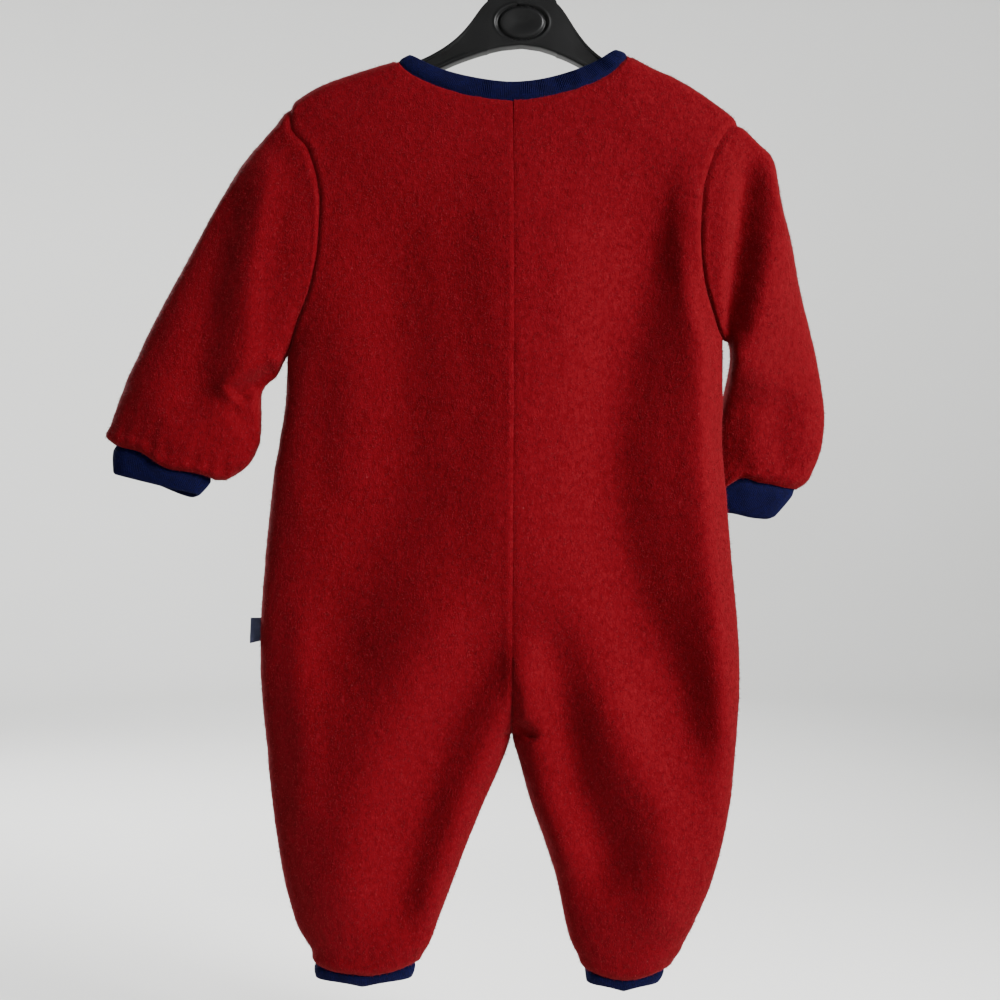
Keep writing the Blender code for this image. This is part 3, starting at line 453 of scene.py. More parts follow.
def panel_rows(side):
    """Each fine row of a panel: how far down the armhole it starts, and its height at the outer edge."""
    top, underarm = SHOULDER[side]["z"][-1], UNDERARM_Z[side]
    rise_top = CROTCH_Z + CROTCH_RISE
    body = np.linspace(underarm, rise_top, int((underarm - rise_top) / ROW_STEP))[1:]
    crotch = rise_top - CROTCH_RISE * np.sin(np.linspace(0, math.pi / 2, 42))[1:]
    hem_turn = 10 * MM
    leg_foot = ANKLE_Z[side] + hem_turn
    leg = np.linspace(CROTCH_Z, leg_foot, int((CROTCH_Z - leg_foot) / ROW_STEP))[1:]
    hem = leg_foot - hem_turn * np.sin(np.linspace(0, math.pi / 2, 10))[1:]
    heights = np.concatenate([top + (underarm - top) * ARMHOLE_SHARES, body, crotch, leg, hem])
    down = np.concatenate([ARMHOLE_SHARES, np.ones(len(heights) - ARMHOLE_COUNT)])
    return down[:, None], heights[:, None]


def panel_form(side, face, across):
    """The smooth outer face of a body panel at places across it, from 0 at its centre edge to 1."""
    sign, facing, half = SIDES[side], FACES[face], HALF_BODY[side]
    down, height = panel_rows(side)
    in_armhole = down < 1
    armhole_x = smooth_line(ARMHOLE_DOWN, np.array(ARMHOLE_ACROSS[side]) * MM, down)
    outer = np.where(in_armhole, armhole_x, smooth_line(half["z"], half["outer"], height))
    inner = np.where(height >= CROTCH_Z, centre_x(height), smooth_line(half["z"], half["inner"], height))
    inner = inner + sign * SEAM_GAP / 2

    turned_under = np.clip((CROTCH_Z + CROTCH_RISE - height) / CROTCH_RISE, 0, 1)
    inner_angle = math.pi / 2 + np.arcsin(turned_under)
    outer_angle = np.arcsin(ARMHOLE_DEPTH * (1 - down**3) ** 0.75)
    angle = inner_angle + (outer_angle - inner_angle) * across
    middle = inner + (outer - inner) / 2 * smooth_step(turned_under, 0, 1)
    outward = (outer - middle) / np.cos(outer_angle) * np.cos(angle)
    inward = (middle - inner) / np.maximum(turned_under, 1e-6) * np.cos(angle)
    x = middle + np.where(angle < math.pi / 2, outward, inward)
    if face == "front":
        zip_open = smooth_step(height, ZIP_BOTTOM - ZIP_CLOSES_IN, ZIP_BOTTOM)
        near_zip = np.maximum(1 - (x - inner) / (neck_point(side)[0] - inner), 0)
        x = x + sign * (ZIP_HALF_GAP - SEAM_GAP / 2) * zip_open * near_zip

    rise = (top_line(side, face, x) - SHOULDER[side]["z"][-1]) * (1 - down)
    z = height + np.where(in_armhole, rise, 0.0)
    below_ridge = np.maximum(ridge_line(side, x) - z, 0.0)
    full = smooth_line(half["z"], half["depth"], z)
    filled = SHOULDER_FOLD_RADIUS + (full - SHOULDER_FOLD_RADIUS) * (1 - np.exp(-below_ridge / DEPTH_GROWTH))
    filled = np.where(z < -650 * MM, full, filled)
    turn = np.sqrt(1 - (1 - np.minimum(below_ridge / SHOULDER_FOLD_RADIUS, 1)) ** 2)
    section = (1 - np.minimum(np.abs(np.cos(angle)), 1) ** FLATNESS) ** (1 / FLATNESS)
    y = facing * (filled * section * turn + SEAM_GAP / 2)
    return np.stack(np.broadcast_arrays(x, y, z), axis=-1), below_ridge * np.ones_like(x)


def even_places(side, face, neck_columns, shoulder_columns):
    """Places across each row of a panel, spread evenly round it, with one on the neck point."""
    tries = np.linspace(0, 1, 120)[None, :]
    points = panel_form(side, face, tries)[0]
    run = np.zeros(points.shape[:2])
    run[:, 1:] = np.cumsum(np.hypot(*np.moveaxis(np.diff(points[..., :2], axis=1), -1, 0)), axis=1)
    run /= run[:, -1:]
    sleeve_angle = math.asin(ARMHOLE_DEPTH)
    reach = (neck_point(side)[0] - NECK_CENTRE_X) / (SHOULDER[side]["x"][-1] - NECK_CENTRE_X)
    neck_place = math.asin(reach * math.cos(sleeve_angle)) / (math.pi / 2 - sleeve_angle)
    neck_run = np.interp(neck_place, tries[0], run[0])
    closing = 1 - 0.08 * np.linspace(1, 0, 10) ** 1.6
    to_neck = np.concatenate([np.linspace(0, 0.92, neck_columns - 9), closing[1:]])
    runs = np.concatenate([neck_run * to_neck, np.linspace(neck_run, 1, shoulder_columns + 1)[1:]])
    return np.array([np.interp(runs, row, tries[0]) for row in run]), neck_columns - 1


def rows_smoothed(values, height, reach):
    """values evened out down a grid whose rows are at these heights, over reach each way."""
    weights = np.exp(-2.0 * ((height - height.T) / reach) ** 2) * np.abs(np.gradient(height[:, 0]))
    return weights @ values / weights.sum(axis=1, keepdims=True)


def grid_normals(points, ring):
    """The unit normal at each point of a grid."""
    across = np.roll(points, -1, axis=1) - np.roll(points, 1, axis=1) if ring else np.gradient(points, axis=1)
    return unit(np.cross(np.gradient(points, axis=0), across))


def edge_distance(points, column):
    """How far each point of a grid is, across its row, from that row's point in one column."""
    offset = points - points[:, column][:, None]
    return np.hypot(offset[..., 0], offset[..., 1])


def edge_distance_down(points):
    """The distance of every point of a grid from its last row."""
    steps = np.linalg.norm(np.diff(points, axis=0), axis=-1)
    return np.concatenate([np.cumsum(steps[::-1], axis=0)[::-1], np.zeros((1, points.shape[1]))])


def nap(points, seed, depth=0.16 * MM):
    """The uneven height of brushed fleece: tufts a few millimetres across, over broader unevenness."""
    x, z = points[..., 0] + 0.37 * points[..., 1], points[..., 2] + 0.21 * points[..., 1]
    tufts = lattice_noise(x, z, 2.3 * MM, seed) + 0.8 * lattice_noise(x, z, 4.1 * MM, seed + 1)
    broad = lattice_noise(x, z, 17 * MM, seed + 2) + 0.8 * lattice_noise(x, z, 39 * MM, seed + 3)
    return depth * tufts + 0.22 * MM * broad


def half_grid(grid, ring):
    """Every other row and column of a grid, with its last ones."""
    rows = sorted({*range(0, grid.shape[0], 2), grid.shape[0] - 1})
    columns = sorted({*range(0, grid.shape[1], 2)} | (set() if ring else {grid.shape[1] - 1}))
    return grid[np.ix_(rows, columns)], rows, columns


def cloth_wall(name, outer, inner, ring, material):
    """One closed sheet of cloth: a fine outer grid, a coarser inner one, and its cut edges."""
    rows, columns = outer.shape[:2]
    inside, kept_rows, kept_columns = half_grid(inner, ring)
    width = inside.shape[1]
    count = rows * columns
    faces = grid_faces(rows, columns, ring)
    faces += [tuple(count + corner for corner in face[::-1]) for face in grid_faces(len(inside), width, ring)]
    last = width if ring else width - 1
    for outer_row, inner_row in ((0, 0), (rows - 1, inside.shape[0] - 1)):
        for c in range(last):
            low = kept_columns[c]
            high = kept_columns[c + 1] if c + 1 < width else columns
            edge = [outer_row * columns + k % columns for k in range(low, high + 1)]
            base = count + inner_row * width
            face = (*edge, base + (c + 1) % width, base + c)
            faces.append(face[::-1] if outer_row == 0 else face)
    if not ring:
        for outer_column, inner_column in ((0, 0), (columns - 1, width - 1)):
            for r in range(inside.shape[0] - 1):
                edge = [k * columns + outer_column for k in range(kept_rows[r], kept_rows[r + 1] + 1)]
                face = (*edge, count + (r + 1) * width + inner_column, count + r * width + inner_column)
                faces.append(face if outer_column == 0 else face[::-1])
    points = np.concatenate([outer.reshape(-1, 3), inside.reshape(-1, 3)])
    if np.sum((outer - inner) * grid_normals(outer, ring)) <= 0:
        faces = [face[::-1] for face in faces]
    piece = linked_mesh(name, points, faces, material)
    piece.data.set_sharp_from_angle(angle=math.radians(62))
    return piece


def armhole_normals(side, face):
    """The direction of the cloth's thickness along the armhole seam, shared by body and sleeve."""
    angle = np.arccos(1 - 2 * ARMHOLE_SHARES)
    under = np.maximum(-np.cos(angle), 0)
    normals = np.stack(
        [SIDES[side] * 0.7 * under, FACES[face] * np.sin(angle), np.cos(angle) * (1 - 0.3 * under)], axis=-1
    )
    return unit(normals) * (1 + 0.4 * under)[:, None]


BINDING_LEAN = math.radians(66)


def binding_rise(side, face, share):
    """The way the neck band stands at shares of the way along a neck edge, leaning into the neck."""
    lean = BINDING_LEAN * share ** (1.6 if face == "back" else 0.9)
    way = np.stack([-SIDES[side] * np.sin(lean), -FACES[face] * 0.15 * np.cos(lean), np.cos(lean)], axis=-1)
    way[-1, 1] = 0.0
    return unit(way)


def panel_inside(side, face, points, normals, neck):
    """A panel's inner face: a wall's thickness in, with every seam edge kept in its seam's plane."""
    height = panel_rows(side)[1][:, 0]
    normals = normals.copy()
    edge = points[0, : neck + 1]
    share = np.clip((edge[:, 0] - edge[0, 0]) / (edge[-1, 0] - edge[0, 0]), 0, 1)
    square = unit(np.cross(np.gradient(edge, axis=0), binding_rise(side, face, share)))
    normals[0, :neck] = (square * np.sign(square[:1, 1:2]) * FACES[face])[:neck]
    normals[0, neck:, 1] = 0.0
    normals[0, neck] = SIDES[side] * math.cos(BINDING_LEAN), 0.0, math.sin(BINDING_LEAN)
    normals[height >= CROTCH_Z + MM, 0, 0] = 0.0
    normals[height < CROTCH_Z + MM, 0, 1] = 0.0
    normals[ARMHOLE_COUNT:, -1, 1] = 0.0
    normals = unit(normals)
    normals[:ARMHOLE_COUNT, -1] = armhole_normals(side, face)
    inside = points - normals * FLEECE_WALL
    inside[..., 1] = FACES[face] * np.maximum(FACES[face] * inside[..., 1], SEAM_GAP / 2)
    return inside


def cloth_group(name, colours, numbers, results):
    """A node group for a cloth that takes colours and numbers, and gives its colour and these results."""
    group = bpy.data.node_groups.new(name, "ShaderNodeTree")
    for way, kind, labels in (
        ("INPUT", "Color", colours), ("INPUT", "Float", numbers),
        ("OUTPUT", "Color", ["Color"]), ("OUTPUT", "Float", results),
    ):
        for label in labels:
            group.interface.new_socket(name=label, in_out=way, socket_type=f"NodeSocket{kind}")
    return group, group.nodes.new("NodeGroupInput").outputs, group.nodes.new("NodeGroupOutput").inputs


def worked_out(tree, operation, first, second):
    """Two numbers added, multiplied or divided."""
    return add_node(tree, "ShaderNodeMath", {0: first, 1: second}, operation=operation).outputs[0]


def moved(tree, operation, inputs):
    """Places added to, multiplied or scaled."""
    return add_node(tree, "ShaderNodeVectorMath", inputs, operation=operation).outputs[0]


def cloth_material(name, group, bump, given, **even):
    """A material from a cloth's node group; bump is how strongly and how far its height stands out."""
    material, tree, shader = shader_material(name, **even)
    cloth = tree.nodes.new("ShaderNodeGroup")
    cloth.node_tree = group
    for socket, value in given.items():
        cloth.inputs[socket].default_value = (*value, 1) if hasattr(value, "__len__") else value
    tree.links.new(cloth.outputs["Color"], shader.inputs["Base Color"])
    if "Roughness" in cloth.outputs:
        tree.links.new(cloth.outputs["Roughness"], shader.inputs["Roughness"])
    stands = {"Height": cloth.outputs["Height"], "Strength": bump[0], "Distance": bump[1]}
    tree.links.new(add_node(tree, "ShaderNodeBump", stands).outputs["Normal"], shader.inputs["Normal"])
    return material


def fleece_group():
    """The colour, height and roughness of brushed fleece: short hairs lying down the cloth, in tufts, with
    painted shade low in the pile and a painted highlight on the raised hair tips.
    """
    group, given, out = cloth_group(
        "brushed_fleece", ["Deep", "Pile", "Tip"], ["Hair Width"], ["Height", "Roughness"]
    )
    places = own_places(group)
    fineness = worked_out(group, "DIVIDE", 1.0, given["Hair Width"])
    waver = add_node(group, "ShaderNodeTexNoise", {"Vector": places, "Scale": 240.0, "Detail": 1.0})
    shift = moved(group, "MULTIPLY", {0: waver.outputs["Color"], 1: (0.003, 0.003, 0.003)})
    wavy = moved(group, "SCALE", {0: moved(group, "ADD", {0: places, 1: shift}), "Scale": fineness})
    hairs = blotches(group, wavy, 1.0, 2.0, (1.0, 1.0, 0.30))
    fine = blotches(group, wavy, 1.9, 1.0, (1.0, 1.0, 0.45))
    tufts = blotches(group, wavy, 0.36, 1.0)
    mottle = blotches(group, places, 32.0, 2.0)
    fibres = worked_out(group, "ADD", hairs, fine)
    pile = worked_out(group, "ADD", fibres, tufts)
    # Painted shade: the colour falls to the deep tone where the pile lies low, between the hairs.
    lit = between(group, pile, 1.05, 1.70)
    colour = mixed(group, lit, given["Deep"], given["Pile"])
    # Painted highlight: the hair tips that stand highest turn towards the lighter tip tone.
    tip = between(group, fibres, 1.16, 1.42)
    colour = mixed(group, between(group, tip, 0, 1, 0, 0.8), colour, given["Tip"])
    colour = mixed(group, between(group, mottle, 0.35, 0.65, 0.0, 0.22), colour, given["Pile"])
    lint = add_node(group, "ShaderNodeTexVoronoi", {"Vector": places, "Scale": 95.0, "Randomness": 1.0})
    speck = between(group, lint.outputs["Distance"], 0.018, 0.040, 1.0, 0.0)
    shade = add_node(group, "ShaderNodeSeparateColor", {0: lint.outputs["Color"]}).outputs[0]
    rare = between(group, shade, 0.86, 0.88)
    speck = worked_out(group, "MULTIPLY", speck, rare)
    colour = mixed(group, between(group, speck, 0, 1, 0, 0.6), colour, (0.24, 0.055, 0.065))
    group.links.new(colour, out["Color"])
    group.links.new(pile, out["Height"])
    group.links.new(between(group, lit, 0, 1, 0.98, 0.88), out["Roughness"])
    return group


FLEECE_GROUP = fleece_group()


def fleece_material(name, deep, pile, tip, hair_width):
    """Fleece in three tones: deep between the hairs as painted shade, their sides, and their tips lighter as
    a painted highlight.
    """
    given = {"Deep": deep, "Pile": pile, "Tip": tip, "Hair Width": hair_width}
    return cloth_material(
        name, FLEECE_GROUP, (0.6, 0.6 * MM), given, Specular_IOR_Level=0.04,
        Sheen_Weight=0.11, Sheen_Roughness=0.35, Sheen_Tint=(0.8, 0.16, 0.18, 1),
    )


def cell_edges(surface, ring):
    """The two sides, from its first corner, of every cell of a grid."""
    here, beyond = (surface, np.roll(surface, -1, axis=1)) if ring else (surface[:, :-1], surface[:, 1:])
    return (beyond - here)[:-1], here[1:] - here[:-1]


PILE_LENGTH = (1.0 * MM, 2.6 * MM)
PILE_RADIUS = 0.15 * MM
PILE_COUNT = {"back": 24000, "front": 9000}


def loose_pile(name, surface, ring, count, seed):
    """The raised hairs of a fleece face: slim closed spikes, combed down the cloth and uneven, in a lighter
    colour that paints light shining through them.
    """
    random = np.random.default_rng(seed)
    onward, down = cell_edges(surface, ring)
    area = np.linalg.norm(np.cross(onward, down), axis=-1).ravel()
    chosen = np.searchsorted(np.cumsum(area) / area.sum(), random.random(count))
    chosen = np.minimum(chosen, area.size - 1)
    row, column = np.unravel_index(chosen, onward.shape[:2])
    side_step, down_step = onward[row, column], down[row, column]
    roots = surface[row, column] + side_step * random.random((count, 1))
    roots += down_step * random.random((count, 1))
    out = grid_normals(surface, ring)[row, column]
    middle = surface.mean(axis=1, keepdims=True)
    if np.sum(grid_normals(surface, ring) * (surface - middle) * ([1, 1, 0] if ring else [0, 1, 0])) < 0:
        out = -out
    combed = unit(down_step) * random.uniform(0.0, 0.9, (count, 1))
    heading = unit(out * random.uniform(0.4, 1.3, (count, 1)) + combed + random.normal(0, 0.5, (count, 3)))
    length = random.uniform(*PILE_LENGTH, (count, 1))
    first = unit(np.cross(heading, random.normal(size=(count, 3))))
    second = np.cross(heading, first)
    roots = roots - heading * 0.3 * MM
    corners = [
        roots + PILE_RADIUS * (math.cos(turn) * first + math.sin(turn) * second)
        for turn in np.linspace(0, 2 * math.pi, 3, endpoint=False)
    ]
    points = np.stack([*corners, roots + heading * length], axis=1)
    base = 4 * np.arange(count)[:, None, None]
    faces = (base + np.array([(0, 2, 1), (0, 1, 3), (1, 2, 3), (2, 0, 3)])).reshape(-1, 3)
    return linked_mesh(name, points, faces.tolist(), BACKLIT_LOOSE_HAIR)


# The red fleece's three tones run from painted shade between the hairs to a painted highlight on their tips.
RED_FLEECE = fleece_material(
    "red_fleece", (0.053, 0.0006, 0.0018), (0.075, 0.0012, 0.0030), (0.104, 0.0043, 0.0070), 1.35 * MM
)
# The stray hairs are a lighter, pinker copy of the red fleece: painted light, standing for light shining
# through them from behind.
BACKLIT_LOOSE_HAIR = fleece_material(
    "backlit_loose_hair", (0.066, 0.0012, 0.0030), (0.120, 0.0055, 0.0085), (0.260, 0.0300, 0.0380), 1.6 * MM
)

HEM_EDGE_LIFT = 3.0 * MM
HEM_MIDDLE_DROOP = 3.0 * MM
NECK_COLUMNS = {"left": 47, "right": 43}  # of a panel's grid, from its centre edge to its neck point
SHOULDER_COLUMNS = 38
COLUMNS_APART = 0.12 * MM  # the least that they may be beside the centre seam
NAP_SEED = {"back": 11, "front": 57}


def gathered_edge(distance, fullness):
    """How far in the cloth lies beside a gathered edge: it turns in there, and bags out above."""
    return bell(distance, 1.2 * MM) * 0.5 * MM - bell(distance - 4.5 * MM, 3.5 * MM) * fullness


def folded_form(side, face):
    """A panel as it hangs in its folds, its neck point's column, and how far it all is from two edges."""
    places, neck = even_places(side, face, NECK_COLUMNS[side], SHOULDER_COLUMNS)
    form, below_ridge = panel_form(side, face, places)
    height = panel_rows(side)[1]

    # The crotch's sharp start is evened out, except right at the seam.
    from_centre = edge_distance(form, 0)
    even = [rows_smoothed(form[..., axis], height, 26 * MM) for axis in (0, 1)]
    share = smooth_step(from_centre, 2 * MM, 22 * MM) * smooth_step(-height, 0.44, 0.50)
    share = share * smooth_step(height, ANKLE_Z[side] + 20 * MM, ANKLE_Z[side] + 50 * MM)
    for axis in (0, 1):
        form[..., axis] += (even[axis] - form[..., axis]) * share

    # Folds push the cloth out and in, but not at its seams at the side and on the shoulder.
    x, z = form[..., 0], form[..., 2]
    from_side = edge_distance(form, -1)
    free = smooth_step(below_ridge, 8 * MM, 60 * MM) * smooth_step(from_side, 0, 26 * MM)
    free = free * smooth_step(z, ANKLE_Z[side] - 4 * MM, ANKLE_Z[side] + 26 * MM)
    below_crotch = smooth_step(-z, -(CROTCH_Z + CROTCH_RISE), -CROTCH_Z)
    free = free * (1 - below_crotch * (1 - smooth_step(from_centre, 0, 9 * MM)))
    if face == "front":
        near_zip = smooth_step(np.abs(x - centre_x(z)), 12 * MM, 42 * MM)
        free = free * (near_zip + (1 - near_zip) * below_crotch)
    form[..., 1] += FACES[face] * fold_relief(FOLDS[face], x, z) * free

    # The hem rises at its ends and hangs lower in its middle.
    left_end, right_end = x[-1].max(), x[-1].min()
    from_middle = np.clip((x - (left_end + right_end) / 2) / ((left_end - right_end) / 2), -1, 1)
    droop = HEM_EDGE_LIFT * np.abs(from_middle) ** 3 - HEM_MIDDLE_DROOP * (1 - from_middle**2) ** 2
    form[..., 2] += droop * (1 - smooth_step(z, ANKLE_Z[side], ANKLE_Z[side] + 34 * MM))
    return form, neck, from_centre, from_side


def seam_relief(side, face, form, from_centre, from_side):
    """How far in the cloth lies at its rolled edges. The allowance lifts one side of the centre seam."""
    down, height = panel_rows(side)
    x, z = form[..., 0], form[..., 2]
    drawn_in = 1 - 0.7 * smooth_step(z, -360 * MM, -170 * MM)
    centre_roll = bell(from_centre, 0.9 * MM) * 0.62 * MM * drawn_in
    if face == "back" and side == "left":
        allowance = smooth_step(from_centre, 0.6 * MM, 1.6 * MM)
        allowance = allowance * (1 - smooth_step(from_centre, 3.6 * MM, 5.4 * MM))
        centre_roll = centre_roll - 0.45 * MM * allowance * drawn_in * (height > CROTCH_Z)
    armhole_roll = bell(from_side, 1.5 * MM) * 1.1 * MM * smooth_step(1 - down, 0, 0.04)
    armhole_rise = bell(from_side - 4 * MM, 2.4 * MM) * 0.4 * MM * smooth_step(1 - down, 0.02, 0.1)
    neck_roll = bell(top_line(side, face, x) - z, 2.0 * MM) * 1.0 * MM
    neck_roll = neck_roll * (np.abs(x) < abs(neck_point(side)[0]) + 3 * MM)
    hem_roll = gathered_edge(edge_distance_down(form), 1.3 * MM)
    return centre_roll + armhole_roll - armhole_rise + neck_roll + hem_roll


def meet_at_centre(side, face, form, layers):
    """Brings the centre edges of a panel's layers onto the seam, with no column crossing the next."""
    sign = SIDES[side]
    above_crotch = panel_rows(side)[1][:, 0] > CROTCH_Z - 1.5 * MM
    meeting = centre_x(form[:, 0, 2]) if face == "back" else form[:, 0, 0]
    for layer in layers:
        layer[above_crotch, 0, 0] = meeting[above_crotch]
        for column in range(1, 6):
            least = sign * layer[:, column - 1, 0] + COLUMNS_APART
            layer[:, column, 0] = sign * np.maximum(sign * layer[:, column, 0], least)


panels = {}
for side in SIDES:
    for face, facing in FACES.items():
        form, neck, from_centre, from_side = folded_form(side, face)
        out = grid_normals(form, False)
        if np.mean(out[..., 1] * facing) < 0:
            out = -out
        inside = panel_inside(side, face, form, out, neck)

        at_edge = np.minimum(from_centre, from_side) / (2.5 * MM)
        rough = nap(form, NAP_SEED[face]) * (0.25 + 0.75 * np.minimum(at_edge, 1))
        surface = form + out * (rough - seam_relief(side, face, form, from_centre, from_side))[..., None]
        overlap = 1.6 * MM + 0.7 * MM * lattice_noise(form[..., 0], 0 * form[..., 0], 13 * MM, 71)
        surface[..., 2] -= overlap * (1 - smooth_step(edge_distance_down(form), 0, 9 * MM))
        meet_at_centre(side, face, form, (surface, inside))
        limit = np.where(np.abs(form[..., 1]) < 4 * MM, SEAM_GAP / 2, 0.0)
        surface[..., 1] = facing * np.maximum(facing * surface[..., 1], limit)
        piece = cloth_wall(f"{face}_{side}_panel", surface, inside, False, RED_FLEECE)
        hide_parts(f"{face}_{side}")
        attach(piece, "garment")
        hairs = loose_pile(f"{face}_{side}_pile", surface, False, PILE_COUNT[face], 200 + len(panels))
        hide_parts(f"{face}_{side}")
        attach(hairs, "garment")
        panels[side, face] = {"outer": surface, "inner": inside, "form": form, "neck": neck}


# ------------------------------------------------------------------------------------------
# The sleeves: each one tube of the same fleece, set into its armhole with a rolled seam, wide
# down to the wrist, where it is drawn in and bags over the cuff.
SLEEVE = {
    "left": table("outer_x outer_z inner_x inner_z depth forward", (
        (159.0, -139.0, 161.0, -308.0, 16.0, 0.0),
        (175.0, -157.5, 163.5, -312.5, 16.5, 0.0),
        (197.0, -184.5, 169.0, -323.0, 17.0, 1.0),
        (214.5, -214.0, 177.5, -330.5, 17.5, 2.0),
        (231.0, -244.5, 180.0, -338.0, 17.5, 3.0),
        (248.0, -274.5, 180.0, -350.5, 17.5, 4.0),
        (263.5, -305.0, 180.5, -364.0, 17.5, 5.0),
        (276.5, -334.0, 185.0, -378.0, 17.0, 6.0),
        (283.5, -354.5, 193.5, -387.5, 16.0, 6.0),
        (285.5, -362.5, 205.0, -392.5, 14.0, 6.0),
        (281.5, -368.0, 213.5, -392.0, 11.0, 6.0),
    )),
    "right": table("outer_x outer_z inner_x inner_z depth forward", (
        (-149.0, -151.0, -138.0, -298.0, 16.0, 0.0),
        (-161.5, -162.0, -142.5, -300.5, 16.5, 0.5),
        (-173.5, -175.0, -144.5, -305.5, 17.0, 2.0),
        (-178.5, -202.0, -144.5, -313.0, 17.5, 5.0),
        (-187.0, -231.0, -143.0, -324.0, 17.5, 10.0),
        (-195.5, -267.0, -140.5, -338.0, 17.5, 16.0),
        (-204.5, -298.0, -137.0, -353.0, 17.5, 21.0),
        (-211.0, -325.5, -133.5, -367.0, 17.0, 25.0),
        (-214.5, -350.5, -131.5, -380.5, 16.5, 28.0),
        (-212.0, -372.5, -130.0, -390.0, 15.5, 29.0),
        (-205.0, -389.5, -130.0, -395.0, 14.0, 29.0),
        (-196.0, -399.5, -131.5, -397.5, 11.0, 29.0),
    )),
}
SLEEVE_RINGS = 112
# Where the hem over the wrist rib rides up or down on the back: amount, x, half width.
SLEEVE_HEM = {
    "left": ((-4.0, 243, 13), (1.5, 262, 10)),
    "right": ((6.0, -156, 9), (3.0, -172, 12), (1.0, -186, 9), (-1.5, -141, 5)),
}
SLEEVE_FLATNESS = 2.2
SLEEVE_PILE_COUNT = 13000
BOW_FADES_AT = 4.5  # the row of SLEEVE by which the sleeve no longer follows the armhole's own shape

# The same columns as FOLDS.
SLEEVE_FOLDS = {
    ("left", "back"): (
        (4.5, 18, 10, ((168, -160), (178, -213), (183, -246), (186, -280), (188, -312), (196, -345))),
        (-3.5, 14, 16, ((183, -180), (202, -226), (212, -267), (219, -307), (226, -360))),
        (3.4, 7, 7, ((162, -308), (174, -315), (187, -321), (199, -329), (205, -341))),
        (-6.0, 7, 6, ((164, -318), (176, -326), (187, -332), (196, -341))),
        (-2.2, 6, 8, ((197, -342), (194, -350), (188, -359), (181, -371))),
        (1.6, 14, 14, ((266, -320), (246, -350), (228, -384))),
    ),
    ("left", "front"): (
        (4.0, 16, 14, ((176, -170), (192, -230), (204, -290), (212, -350))),
        (-4.0, 14, 14, ((196, -200), (222, -260), (236, -320), (244, -366))),
        (-2.4, 6, 7, ((216, -330), (198, -344), (182, -366))),
    ),
    ("right", "back"): (
        (9.5, 15, 26, ((-182, -160), (-178, -213), (-171, -246), (-162, -280), (-152, -308), (-146, -345))),
        (-8.0, 7, 12, ((-154, -160), (-149, -213), (-146, -246), (-143, -280), (-140, -312))),
        (-2.0, 10, 12, ((-186, -330), (-180, -360), (-186, -392))),
        (1.6, 9, 9, ((-162, -340), (-160, -370), (-166, -398))),
    ),
    ("right", "front"): (
        (5.0, 14, 16, ((-160, -180), (-166, -240), (-166, -300), (-162, -360))),
        (-4.0, 12, 12, ((-178, -210), (-188, -270), (-196, -330), (-194, -390))),
    ),
}


def ring_row(columns, at):
    """A table's values between its rows, at fractional row numbers."""
    return {name: smooth_line(np.arange(len(v)), v, at)[:, None] for name, v in columns.items()}


def oval_rings(row, angles, flatness):
    """Flattened rings between outer and inner edges, from the outer edge over the back and round."""
    outer = np.stack(np.broadcast_arrays(row["outer_x"], -row["forward"], row["outer_z"]), axis=-1)
    inner = np.stack(np.broadcast_arrays(row["inner_x"], -row["forward"], row["inner_z"]), axis=-1)
    across, over = np.cos(angles)[None, :], np.sin(angles)[None, :]
    section = np.sign(over) * (1 - np.abs(across) ** flatness) ** (1 / flatness)
    rings = (outer + inner) / 2 + across[..., None] * (outer - inner) / 2
    rings[..., 1] += section * row["depth"]
    return rings


def pucker(runs, along, pitch, seed):
    """Small gathers, round a tube at runs along it, strongest at its gathered end."""
    waves = np.random.default_rng(seed).uniform(0.6, 1.4, 5)
    return sum(np.sin(runs / pitch * 2 * math.pi * w + 9 * w) for w in waves) / 5 * along


half_turn = np.arccos(1 - 2 * ARMHOLE_SHARES)
SLEEVE_ANGLES = np.concatenate([half_turn, 2 * math.pi - half_turn[-2:0:-1]])


def armhole_ring(side, layer):
    """The armhole edge of both panels of a side as one ring, moved out by the seam's gap."""
    back, front = (panels[side, face][layer][:ARMHOLE_COUNT, -1] for face in ("back", "front"))
    ring = np.concatenate([back, front[-2:0:-1]])
    ring[0, 1] = ring[ARMHOLE_COUNT - 1, 1] = 0.0
    return ring + np.array([SIDES[side] * SEAM_GAP, 0, 0])


